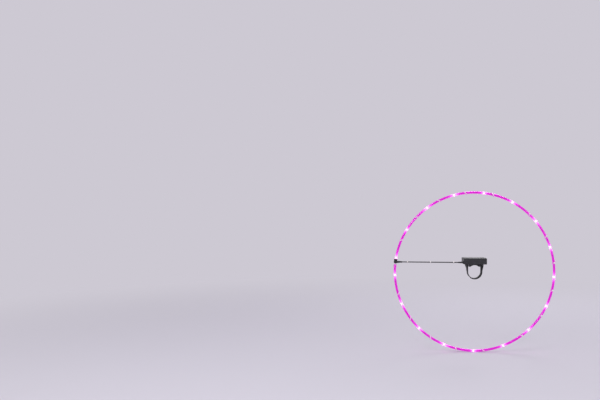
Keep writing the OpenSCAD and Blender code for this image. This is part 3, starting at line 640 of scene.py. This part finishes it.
def set_on_seats(name, piece, places, material):
    """Copies a piece to these places, each a matrix, as one mesh, and drops the piece itself."""
    seats = bpy.data.meshes.new(name + "_seats")
    seats.from_pydata([place.translation for place in places], [], [])
    turns = seats.attributes.new("turn", "FLOAT_VECTOR", "POINT")
    for turn, place in zip(turns.data, places):
        turn.vector = place.to_euler()
    made = grow(name, seat_tree, seats, {"Piece": piece, "Material": material})
    bpy.data.objects.remove(piece)
    return made


# Natural nylon: milky and waxy, so light goes a little way into it. Where it lies on the lit tube it
# fills with the tube's light, and a few millimetres away it is its own colour.
nylon_depth = {"Subsurface Weight": 0.3, "Subsurface Radius": (1.0, 0.9, 0.9), "Subsurface Scale": 1.2 * mm}
nylon_finish, nylon_tree, nylon_shader = grain(
    "Natural nylon", "#d2cdc9", "#ece8e6", 3 * mm, (0.3, 0.42), 0.02 * mm,
    {**nylon_depth, "Emission Color": hex_colour("#f24cf0")})
nylon_place = add(nylon_tree, "ShaderNodeTexCoord")
nylon_parts = add(nylon_tree, "ShaderNodeSeparateXYZ", {"Vector": nylon_place.outputs["Object"]})
nylon_plane = add(nylon_tree, "ShaderNodeCombineXYZ", {
    "X": nylon_parts.outputs["X"], "Z": nylon_parts.outputs["Z"]})
nylon_radius = add(nylon_tree, "ShaderNodeVectorMath", {0: nylon_plane.outputs["Vector"]},
                   operation="LENGTH")
nylon_out = add(nylon_tree, "ShaderNodeMath", {
    0: nylon_radius.outputs["Value"], 1: ring_radius}, operation="SUBTRACT")
nylon_section = add(nylon_tree, "ShaderNodeCombineXYZ", {
    "X": nylon_out.outputs["Value"], "Y": nylon_parts.outputs["Y"]})
nylon_gap = add(nylon_tree, "ShaderNodeVectorMath", {0: nylon_section.outputs["Vector"]},
                operation="LENGTH")
nylon_lit = add(nylon_tree, "ShaderNodeMapRange", {
    "Value": nylon_gap.outputs["Value"], "From Min": tube_radius, "From Max": tube_radius + lit_reach,
    "To Min": 1, "To Max": 0}, interpolation_type="SMOOTHSTEP")
nylon_tint = add(nylon_tree, "ShaderNodeMixRGB", {
    "Fac": nylon_lit.outputs["Result"], "Color1": nylon_shader.inputs["Base Color"].links[0].from_socket,
    "Color2": hex_colour("#d564d0")})
nylon_glow = add(nylon_tree, "ShaderNodeMath", {0: nylon_lit.outputs["Result"], 1: lit_share},
                 operation="MULTIPLY")
nylon_tree.links.new(nylon_tint.outputs["Color"], nylon_shader.inputs["Base Color"])
nylon_tree.links.new(nylon_glow.outputs["Value"], nylon_shader.inputs["Emission Strength"])
tie_places = []
for mount in frame["record"]["mounts"]:
    if mount["name"].startswith("spoke_tie"):
        x, y, z = mount["pos_m"]
        angle = math.atan2(z, x)
        place = Matrix.Translation((ring_radius * math.cos(angle), 0, ring_radius * math.sin(angle)))
        place = place @ Euler((math.pi / 2, -angle, 0)).to_matrix().to_4x4()
        place = place @ Matrix.Rotation(tie_slant, 4, "Z")
        tie_places.append(place if y < 0 else place @ Matrix.Rotation(math.pi, 4, "Y"))
tie_reach = tube_radius / math.cos(tie_slant) + tie_width / 2
ring_tie = cable_tie("ring_tie", tube_radius + tie_gap, tie_reach - tube_radius, nylon_finish)
spoke_ties = set_on_seats("spoke_ties_nylon", ring_tie, tie_places, nylon_finish)
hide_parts("spoke_ties")
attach(spoke_ties, "light_set")

# Lead ties: three more nylon ties of the same kind, drawn square round the lead, with the same room
# beside it.
lead_radius = 1.7 * mm
lead_tie_count = 3
lead_tie_spread = 0.6 * mm
first_tie_inset, last_tie_inset = 37.2 * mm, 40 * mm
lead_start = Vector((-33.6 * mm, -17.9 * mm, lead_height))
lead_end = Vector((ring_radius * math.cos(elbow_angle), 0, lead_height))
lead_way = (lead_end - lead_start).normalized()
lead_turn = math.atan2(lead_way.y, lead_way.x)
lead_frame = Matrix.Translation(lead_start) @ Euler((0, math.pi / 2, lead_turn)).to_matrix().to_4x4()
tied_length = (lead_end - lead_start).length - first_tie_inset - last_tie_inset
lead_places = []
for i in range(lead_tie_count):
    along_lead = first_tie_inset + tied_length * i / (lead_tie_count - 1)
    place = lead_frame @ Matrix.Translation((0, 0, along_lead))
    lead_places.append(place @ Matrix.Rotation(math.pi, 4, "Z") @ Matrix.Rotation(math.pi / 2, 4, "X"))
lead_tie = cable_tie("lead_tie", lead_radius + tie_gap, lead_tie_spread, nylon_finish)
lead_ties = set_on_seats("lead_ties_nylon", lead_tie, lead_places, nylon_finish)
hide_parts("lead_ties")
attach(lead_ties, "light_set")

# Battery case, switch deck and cover: injection-moulded ABS. The deck is screwed on over the
# switch bay; the cover slides off along grooves in the case.
spark_grain, spark_depth = 0.25 * mm, 0.03 * mm
rub_reach, rub_patch = 0.7 * mm, 6 * mm
rub_start, rub_full = 0.98, 0.84


def rub_edges(tree, shader, colour, gloss, reach):
    """Rubs a finish as hands do: in patches along the edges, within this reach, it takes this colour
    and gloss."""
    rounded = add(tree, "ShaderNodeBevel", {"Radius": reach}, samples=8)
    face = add(tree, "ShaderNodeNewGeometry")
    level = add(tree, "ShaderNodeVectorMath", {
        0: rounded.outputs["Normal"], 1: face.outputs["Normal"]}, operation="DOT_PRODUCT")
    edge = add(tree, "ShaderNodeMapRange", {
        "Value": level.outputs["Value"], "From Min": rub_start, "From Max": rub_full})
    place = add(tree, "ShaderNodeTexCoord")
    patches = add(tree, "ShaderNodeTexNoise", {
        "Vector": place.outputs["Object"], "Scale": 1 / rub_patch, "Detail": 4.0})
    rubbed = add(tree, "ShaderNodeMath", {
        0: edge.outputs["Result"], 1: patches.outputs["Fac"]}, operation="MULTIPLY")
    tint = add(tree, "ShaderNodeMixRGB", {
        "Fac": rubbed.outputs["Value"], "Color1": shader.inputs["Base Color"].links[0].from_socket,
        "Color2": hex_colour(colour)})
    shine = add(tree, "ShaderNodeMix", {
        0: rubbed.outputs["Value"], 2: shader.inputs["Roughness"].links[0].from_socket, 3: gloss})
    tree.links.new(tint.outputs["Color"], shader.inputs["Base Color"])
    tree.links.new(shine.outputs[0], shader.inputs["Roughness"])


# ABS from a spark-eroded mould: an even fine grain with a dull sheen, rubbed paler and glossier along
# its edges. The real grain is about 0.1 mm, drawn at 0.25 mm so that it shows.
abs_finish, abs_tree, abs_shader = grain(
    "Black ABS, spark grain", "#19191c", "#2a2a2e", spark_grain, (0.34, 0.46), spark_depth)
rub_edges(abs_tree, abs_shader, "#6a6a70", 0.22, rub_reach)
dress(abs_finish, "battery_case", "switch_deck", "battery_cover")

# Deck screws and what lies in the switch bay: two zinc-plated screws, a glass-epoxy board with its
# push switch, driver chip and resistors, and the wires soldered to it.
# Zinc plate: cool and bright, a little mottled.
zinc_finish = grain("Zinc plated steel", "#a9adb2", "#d3d6da", 0.8 * mm, (0.25, 0.4), 0.01 * mm,
                    {"Metallic": 1})[0]
dress(zinc_finish, "deck_screws")
# Solder mask: a glossy green film that the glass cloth shows through.
mask_finish = grain("Solder mask on glass epoxy", "#0a3a1c", "#156a35", 1.5 * mm, (0.22, 0.35),
                    0.02 * mm)[0]
dress(mask_finish, "circuit_board")
# Moulded black: satin on the switch, duller on the chip and resistors, whose epoxy is filled with sand.
switch_finish = grain("Switch plastic, moulded", "#19191c", "#2a2a2e", 1 * mm, (0.4, 0.55), 0.01 * mm)[0]
dress(switch_finish, "switch_body")
driver_finish = grain("Chip epoxy, moulded", "#09090a", "#161618", 0.4 * mm, (0.45, 0.6), 0.01 * mm)[0]
dress(driver_finish, "driver_parts")
# Insulation: red right through, with an extruded gloss.
core_finish = grain("Red PVC insulation", "#8c1210", "#b81c18", 2 * mm, (0.3, 0.42), 0.01 * mm)[0]
dress(core_finish, "lead_cores", "return_wire")
# Acetal: milk white and slippery.
plunger_finish = grain("White acetal", "#d9d8d2", "#eeede8", 2 * mm, (0.3, 0.4), 0.01 * mm)[0]
dress(plunger_finish, "switch_plunger")

# Cells: three AA cells side by side, the middle one turned round. Each is a drawn steel can with
# its plus cap, in a plain shrunk PVC sleeve.
cell_length = 50.5 * mm
cell_sides = 48
cell_turns = {"cell_1": math.pi / 2, "cell_2": -math.pi / 2, "cell_3": math.pi / 2}
cell_places = []
for node, turn in cell_turns.items():
    cell_low, cell_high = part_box(node)
    place = Matrix.Translation((cell_low + cell_high) / 2)
    cell_places.append(place @ Matrix.Rotation(turn, 4, "Y"))
# Outlines as (radius, height) in millimetres, up from the minus end.
can_profile = [(0, 0.15), (5.2, 0.15), (5.6, 0), (6.5, 0), (6.75, 0.3), (6.8, 1), (6.8, 48.4), (6.75, 49),
               (6.5, 49.3), (3.7, 49.3), (3.4, 49.1), (2.9, 49.15), (2.7, 49.35), (2.7, 50.2), (2.5, 50.48),
               (0, 50.5)]
sleeve_profile = [(6.4, 0.12), (6.9, 0.15), (7.2, 0.45), (7.25, 0.9), (7.25, 46.6), (7.12, 47),
                  (7.12, 47.4), (7.22, 47.8), (7.2, 48.6), (6.95, 49.25), (6.4, 49.42), (6.4, 49.2),
                  (6.85, 48.9), (6.85, 0.5), (6.4, 0.3), (6.4, 0.12)]
band_profile = [(7.1, 37.5), (7.27, 37.5), (7.27, 46.2), (7.1, 46.2), (7.1, 37.5)]
# Steel can: nickel plated and bright. Sleeve: printed one plain colour, satin, with a fine wrinkle, and
# a darker band that tells the plus end.
can_finish = grain("Nickel plated can", "#b9b9b6", "#dcdcd8", 4 * mm, (0.18, 0.3), 0.01 * mm,
                   {"Metallic": 1})[0]
sleeve_finish = grain("Plain PVC sleeve", "#7f858c", "#98a0a8", 5 * mm, (0.28, 0.4), 0.03 * mm,
                      {"Coat Weight": 0.2})[0]
band_finish = grain("Dark print on the sleeve", "#2b3138", "#3a424b", 5 * mm, (0.3, 0.42), 0.03 * mm,
                    {"Coat Weight": 0.2})[0]
cell_parts = {"cans": (can_profile, can_finish), "sleeves": (sleeve_profile, sleeve_finish),
              "bands": (band_profile, band_finish)}
for part, (profile, finish) in cell_parts.items():
    cell_mesh = bmesh.new()
    lathe(cell_mesh, [(r * mm, h * mm - cell_length / 2) for r, h in profile], cell_sides)
    bmesh.ops.remove_doubles(cell_mesh, verts=cell_mesh.verts, dist=0.001 * mm)
    one_cell = new_piece("cell_" + part, cell_mesh, finish, sharp=50)
    cells = set_on_seats("cell_" + part + "_set", one_cell, cell_places, finish)
    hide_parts("cell_1", "cell_2", "cell_3")
    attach(cells, "light_set")

# Contacts: nickel-plated spring steel. Two single plates and two bridges are pressed from sheet
# and stand in the ends of the bay; a cone spring is fixed to each minus place.
plate_corner = 1.6 * mm
plate_edge = 0.1 * mm
rim_angle = math.radians(60)
spring_stand = 4.9 * mm
# Nickel on spring steel: bright, with soft reflections.
steel_finish = grain("Nickel plated spring steel", "#b4b6b8", "#dadcde", 1.5 * mm, (0.2, 0.34), 0.01 * mm,
                     {"Metallic": 1})[0]
for node in ("left_bridge", "right_bridge", "minus_contact", "plus_contact"):
    plate_low, plate_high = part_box(node)
    size = plate_high - plate_low
    plate = bmesh.new()
    across, up = size.y / 2 - plate_corner, size.z / 2 - plate_corner
    outline = []
    for y, z, start in ((across, -up, -90), (across, up, 0), (-across, up, 90), (-across, -up, 180)):
        outline += arc((y, z), plate_corner, start, start + 90, steps=6)
    prism(plate, outline, size.x)
    rim = [edge for edge in plate.edges if edge.calc_face_angle() > rim_angle]
    bmesh.ops.bevel(plate, geom=rim, offset=plate_edge, segments=2, affect="EDGES", profile=0.5)
    upright = Matrix.Translation((plate_low + plate_high) / 2) @ Matrix.Rotation(math.pi / 2, 4, "Z")
    bmesh.ops.transform(plate, verts=plate.verts, matrix=upright)
    contact = new_piece(node + "_plate", plate, steel_finish)
    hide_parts(node)
    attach(contact, "light_set")

coil_tree, coil = new_tree("Wind a cone spring", {
    "Turns": "Float", "Wide radius": "Float", "Narrow radius": "Float", "Height": "Float",
    "Wire radius": "Float", "Material": "Material"})
coil_line = add(coil_tree, "GeometryNodeCurveSpiral", {
    "Resolution": 40, "Rotations": coil["Turns"], "Start Radius": coil["Wide radius"],
    "End Radius": coil["Narrow radius"], "Height": coil["Height"]})
coil_section = add(coil_tree, "GeometryNodeCurvePrimitiveCircle", {
    "Resolution": 10, "Radius": coil["Wire radius"]}, mode="RADIUS")
coil_wire = add(coil_tree, "GeometryNodeCurveToMesh", {
    "Curve": coil_line.outputs["Curve"], "Profile Curve": coil_section.outputs["Curve"], "Fill Caps": True})
coil_smooth = add(coil_tree, "GeometryNodeSetShadeSmooth", {"Geometry": coil_wire.outputs["Mesh"]})
end_tree(coil_tree, coil_smooth.outputs["Geometry"], coil["Material"])
spring = grow("spring", coil_tree, bpy.data.meshes.new("spring_start"), {
    "Turns": 3.5, "Wide radius": 3.4 * mm, "Narrow radius": 2 * mm, "Height": 4.1 * mm,
    "Wire radius": 0.35 * mm, "Material": steel_finish})
spring_seat = Matrix.Translation((0, 0, -cell_length / 2 - spring_stand))
spring_places = [place @ spring_seat for place in cell_places]
springs = set_on_seats("contact_springs_wound", spring, spring_places, steel_finish)
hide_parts("contact_springs")
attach(springs, "light_set")

# Saddle pad: moulded black rubber, glued in the hollow under the case. Its face has ribs along Y that
# bite on the barrel it is strapped to.
hub_radius = 22 * mm
pad_width = 22 * mm
pad_outer = 23.95 * mm
pad_angle = 43
rib_depth = 0.5 * mm
rib_count = 14
rib_share, groove_start, groove_end = 0.6, 0.68, 0.92
pad_outline = arc((0, 0), pad_outer, 90 - pad_angle, 90 + pad_angle, steps=40)
rib_step = 2 * pad_angle / rib_count
for i in range(rib_count):
    start = 90 + pad_angle - rib_step * i
    pad_outline += arc((0, 0), hub_radius, start, start - rib_share * rib_step, steps=3)
    if i + 1 < rib_count:
        pad_outline += arc((0, 0), hub_radius + rib_depth, start - groove_start * rib_step,
                           start - groove_end * rib_step, steps=2)
# Rubber: dull black with a dusty bloom.
rubber_finish = grain("Black moulded rubber", "#0a0a0a", "#1c1c1d", 1.2 * mm, (0.62, 0.8), 0.03 * mm)[0]
pad_mesh = bmesh.new()
prism(pad_mesh, pad_outline, pad_width)
pad = new_piece("saddle_pad_ribbed", pad_mesh, rubber_finish, sharp=30)
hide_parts("saddle_pad")
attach(pad, "light_set")

# Hub strap: woven nylon, 22 mm wide. It is sewn round the left bar of the saddle, runs under the
# barrel and over the right bar, and its end is pressed back on itself, hook on loop.
strap_width = 22 * mm
strap_thickness = 1.5 * mm
strap_edge = 0.35 * mm
bar_place = Vector((25.35, 21.55)) * mm
bar_turn = 2.6 * mm
lap_gap = 0.04 * mm
run_radius = hub_radius + strap_thickness / 2
lap_radius = run_radius + strap_thickness + lap_gap
lap_angle = -118
sewn_low, sewn_high = 3 * mm, 9 * mm
leg_steps = 6


def ease(start, end, steps):
    """Points from one upright stretch of strap to another, with an easy bend between."""
    points = []
    for i in range(1, steps):
        t = i / steps
        blend = t * t * (3 - 2 * t)
        points.append((start[0] + (end[0] - start[0]) * blend, start[1] + (end[1] - start[1]) * t))
    return points


left_bar, right_bar = (-bar_place.x, bar_place.y), (bar_place.x, bar_place.y)
leg_x = bar_place.x + bar_turn
strap_path = [(-lap_radius, sewn_low), (-lap_radius, (sewn_low + sewn_high) / 2), (-lap_radius, sewn_high)]
strap_path += ease((-lap_radius, sewn_high), (-leg_x, bar_place.y), steps=10)
strap_path += arc(left_bar, bar_turn, 180, 0, steps=16)
strap_path += [(-run_radius, bar_place.y * (1 - i / leg_steps)) for i in range(1, leg_steps)]
strap_path += arc((0, 0), run_radius, 180, 360, steps=72)
strap_path += [(run_radius, bar_place.y * i / leg_steps) for i in range(1, leg_steps)]
strap_path += arc(right_bar, bar_turn, 180, 0, steps=16)
strap_path += ease((leg_x, bar_place.y), (lap_radius, 0), steps=12)
strap_path += arc((0, 0), lap_radius, 0, lap_angle, steps=60)
# Woven nylon: thread over thread, 1 mm apart, with a slight sheen. Each thread is a rounded ridge: at a
# scale of 1 a wave texture has one every pi / 10.
thread = 1 * mm
thread_depth = 0.15 * mm
webbing_finish, webbing_tree, webbing_shader = new_finish("Woven nylon webbing", {
    "Sheen Weight": 0.12, "Sheen Roughness": 0.4})
webbing_uv = add(webbing_tree, "ShaderNodeUVMap")
webbing_over = add(webbing_tree, "ShaderNodeTexChecker", {
    "Vector": webbing_uv.outputs["UV"], "Scale": 1 / thread})
wave_scale = math.pi / (10 * thread)
webbing_warp = add(webbing_tree, "ShaderNodeTexWave", {
    "Vector": webbing_uv.outputs["UV"], "Scale": wave_scale}, bands_direction="X")
webbing_weft = add(webbing_tree, "ShaderNodeTexWave", {
    "Vector": webbing_uv.outputs["UV"], "Scale": wave_scale}, bands_direction="Y")
webbing_thread = add(webbing_tree, "ShaderNodeMixRGB", {
    "Fac": webbing_over.outputs["Fac"], "Color1": webbing_warp.outputs["Color"],
    "Color2": webbing_weft.outputs["Color"]})
webbing_colour = add(webbing_tree, "ShaderNodeMixRGB", {
    "Fac": webbing_thread.outputs["Color"], "Color1": hex_colour("#0a0a0b"),
    "Color2": hex_colour("#26262a")})
webbing_gloss = add(webbing_tree, "ShaderNodeMapRange", {
    "Value": webbing_thread.outputs["Color"], "To Min": 0.9, "To Max": 0.65})
webbing_relief = add(webbing_tree, "ShaderNodeBump", {
    "Height": webbing_thread.outputs["Color"], "Distance": thread_depth})
webbing_tree.links.new(webbing_colour.outputs["Color"], webbing_shader.inputs["Base Color"])
webbing_tree.links.new(webbing_gloss.outputs["Result"], webbing_shader.inputs["Roughness"])
webbing_tree.links.new(webbing_relief.outputs["Normal"], webbing_shader.inputs["Normal"])
strap_mesh = bmesh.new()
band(strap_mesh, strap_path, strap_width, strap_thickness, strap_edge)
strap = new_piece("hub_strap_woven", strap_mesh, webbing_finish, sharp=50)
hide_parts("hub_strap")
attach(strap, "light_set")

# Strap sewing: lockstitch in thick thread. A box with a cross closes the eye round the left bar, and
# an outline holds the hook tape on the inside of the free end.
stitch_pitch = 2.3 * mm
stitch_length = 2 * mm
stitch_radius = 0.3 * mm
seam_inset = 0.9 * mm
sewn_face = lap_radius + strap_thickness / 2
hook_start, hook_end = lap_angle + 3, lap_angle + 52

sew_tree, sew = new_tree("Sew along seams", {
    "Pitch": "Float", "Length": "Float", "Radius": "Float", "Material": "Material"})
sew_seams = add(sew_tree, "GeometryNodeMeshToCurve", {"Mesh": sew["Geometry"]})
sew_steps = add(sew_tree, "GeometryNodeResampleCurve", {
    "Curve": sew_seams.outputs["Curve"], "Length": sew["Pitch"]}, mode="LENGTH")
sew_way = add(sew_tree, "GeometryNodeInputTangent")
sew_turn = add(sew_tree, "FunctionNodeAlignRotationToVector", {"Vector": sew_way.outputs["Tangent"]},
               axis="Z")
sew_stitch = add(sew_tree, "GeometryNodeMeshUVSphere", {"Segments": 8, "Rings": 6, "Radius": 1.0})
sew_half = add(sew_tree, "ShaderNodeMath", {0: sew["Length"], 1: 0.5}, operation="MULTIPLY")
sew_size = add(sew_tree, "ShaderNodeCombineXYZ", {
    "X": sew["Radius"], "Y": sew["Radius"], "Z": sew_half.outputs["Value"]})
sew_set = add(sew_tree, "GeometryNodeInstanceOnPoints", {
    "Points": sew_steps.outputs["Curve"], "Instance": sew_stitch.outputs["Mesh"],
    "Rotation": sew_turn.outputs["Rotation"], "Scale": sew_size.outputs["Vector"]})
sew_smooth = add(sew_tree, "GeometryNodeSetShadeSmooth", {"Geometry": sew_set.outputs["Instances"]})
end_tree(sew_tree, sew_smooth.outputs["Geometry"], sew["Material"])

seam_half = strap_width / 2 - 2 * seam_inset
seam_low, seam_high = sewn_low + seam_inset, sewn_high - seam_inset
seam_points = [(-sewn_face, y, z) for y, z in (
    (-seam_half, seam_low), (seam_half, seam_low), (seam_half, seam_high), (-seam_half, seam_high))]
seam_lines = [(0, 1), (1, 2), (2, 3), (3, 0), (0, 2), (1, 3)]
hook_line = arc((0, 0), sewn_face, hook_start, hook_end, steps=24)
for side in (-1, 1):
    first = len(seam_points)
    seam_points += [(x, side * seam_half, z) for x, z in hook_line]
    seam_lines += [(first + i, first + i + 1) for i in range(len(hook_line) - 1)]
seam_lines += [(first - len(hook_line), first), (first - 1, len(seam_points) - 1)]
seams = bpy.data.meshes.new("seams")
seams.from_pydata(seam_points, seam_lines, [])
# Bonded nylon thread: round, smooth and grey, so it stands out on the webbing.
thread_finish = grain("Bonded nylon thread", "#6c6c72", "#8a8a90", 0.6 * mm, (0.4, 0.55), 0.02 * mm)[0]
stitches = grow("hub_strap_stitches", sew_tree, seams, {
    "Pitch": stitch_pitch, "Length": stitch_length, "Radius": stitch_radius, "Material": thread_finish})
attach(stitches, "light_set")

# Loop pile: a field of fine nylon loops on the outside of the strap, which the hooks of the free end
# grip. What shows is the stretch that the free end leaves uncovered. Real fibres are 0.04 mm thick,
# drawn at 0.2 mm so that they show.
pile_start, pile_end = 190, 360 + lap_angle - 2
pile_face = run_radius + strap_thickness / 2
pile_gap = 0.75 * mm
pile_density = 4e6
pile_lean = 0.5
loop_radius = 0.55 * mm
loop_close = 0.3
fibre_radius = 0.1 * mm

pile_tree, pile = new_tree("Grow a pile of loops", {
    "Least gap": "Float", "Loop radius": "Float", "Fibre radius": "Float", "Seed": "Int",
    "Material": "Material"})
pile_points = add(pile_tree, "GeometryNodeDistributePointsOnFaces", {
    "Mesh": pile["Geometry"], "Distance Min": pile["Least gap"], "Density Max": pile_density,
    "Seed": pile["Seed"]}, distribute_method="POISSON")
pile_arch = add(pile_tree, "GeometryNodeCurveArc", {
    "Resolution": 7, "Radius": pile["Loop radius"], "Start Angle": -loop_close,
    "Sweep Angle": math.pi + 2 * loop_close}, mode="RADIUS")
pile_upright = add(pile_tree, "GeometryNodeTransform", {
    "Geometry": pile_arch.outputs["Curve"], "Rotation": (math.pi / 2, 0, 0)})
pile_section = add(pile_tree, "GeometryNodeCurvePrimitiveCircle", {
    "Resolution": 4, "Radius": pile["Fibre radius"]}, mode="RADIUS")
pile_fibre = add(pile_tree, "GeometryNodeCurveToMesh", {
    "Curve": pile_upright.outputs["Geometry"], "Profile Curve": pile_section.outputs["Curve"],
    "Fill Caps": True})
pile_set = add(pile_tree, "GeometryNodeInstanceOnPoints", {
    "Points": pile_points.outputs["Points"], "Instance": pile_fibre.outputs["Mesh"],
    "Rotation": pile_points.outputs["Rotation"]})
pile_twist = add(pile_tree, "FunctionNodeRandomValue", {
    "Max": (pile_lean, pile_lean, 2 * math.pi), "Min": (-pile_lean, -pile_lean, 0),
    "Seed": pile["Seed"]}, data_type="FLOAT_VECTOR")
pile_turned = add(pile_tree, "GeometryNodeRotateInstances", {
    "Instances": pile_set.outputs["Instances"], "Rotation": pile_twist.outputs["Value"]})
end_tree(pile_tree, pile_turned.outputs["Instances"], pile["Material"])

pile_mesh = bmesh.new()
pile_line = arc((0, 0), pile_face, pile_start, pile_end, steps=16)
pile_near, pile_far = (
    [pile_mesh.verts.new((x, side * seam_half, z)) for x, z in pile_line] for side in (-1, 1))
for i in range(len(pile_line) - 1):
    pile_mesh.faces.new((pile_near[i], pile_near[i + 1], pile_far[i + 1], pile_far[i]))
pile_field = bpy.data.meshes.new("pile_field")
pile_mesh.to_mesh(pile_field)
pile_mesh.free()
# Brushed nylon loops: matt and fuzzy, with a sheen where they catch the light.
pile_finish = grain("Brushed nylon loops", "#141416", "#2b2b30", 0.8 * mm, (0.6, 0.8), 0.01 * mm, {
    "Sheen Weight": 0.4, "Sheen Roughness": 0.5})[0]
loops = grow("hub_strap_pile", pile_tree, pile_field, {
    "Least gap": pile_gap, "Loop radius": loop_radius, "Fibre radius": fibre_radius, "Seed": 3,
    "Material": pile_finish})
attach(loops, "light_set")

# Power button: a moulded silicone cap, domed, with two grip rings. Its flange holds it under the deck,
# and it stands on the plunger of the push switch.
button_x = -29.3 * mm
button_sides = 48
ring_sink, ring_floor, ring_rim = 0.18, 0.1, 0.25
crown, dome = 47.1, 14
# Outline as (radius, height) in millimetres: the flange, the wall, and the dome with its sunk rings.
button_profile = [(0, 42.5), (5.7, 42.5), (6, 42.75), (6, 43.45), (5.75, 43.7), (5, 43.75), (5, 45.6),
                  (4.9, 45.95), (4.6, 46.2)]
dome_points = [(4, 0)]
for ring in (3.3, 2.05):
    dome_points += [(ring + ring_rim, 0), (ring + ring_floor, ring_sink), (ring - ring_floor, ring_sink),
                    (ring - ring_rim, 0)]
for radius, sink in dome_points + [(0.9, 0), (0, 0)]:
    button_profile.append((radius, crown - dome + math.sqrt(dome ** 2 - radius ** 2) - sink))
# Silicone: satin grey, slightly tacky-looking.
silicone_finish = grain("Grey silicone", "#4b4b50", "#5c5c61", 1.5 * mm, (0.45, 0.58), 0.01 * mm)[0]
button_mesh = bmesh.new()
lathe(button_mesh, [(r * mm, h * mm) for r, h in button_profile], button_sides)
bmesh.ops.translate(button_mesh, verts=button_mesh.verts, vec=(button_x, 0, 0))
button = new_piece("power_button_cap", button_mesh, silicone_finish, sharp=35)
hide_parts("power_button")
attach(button, "button")
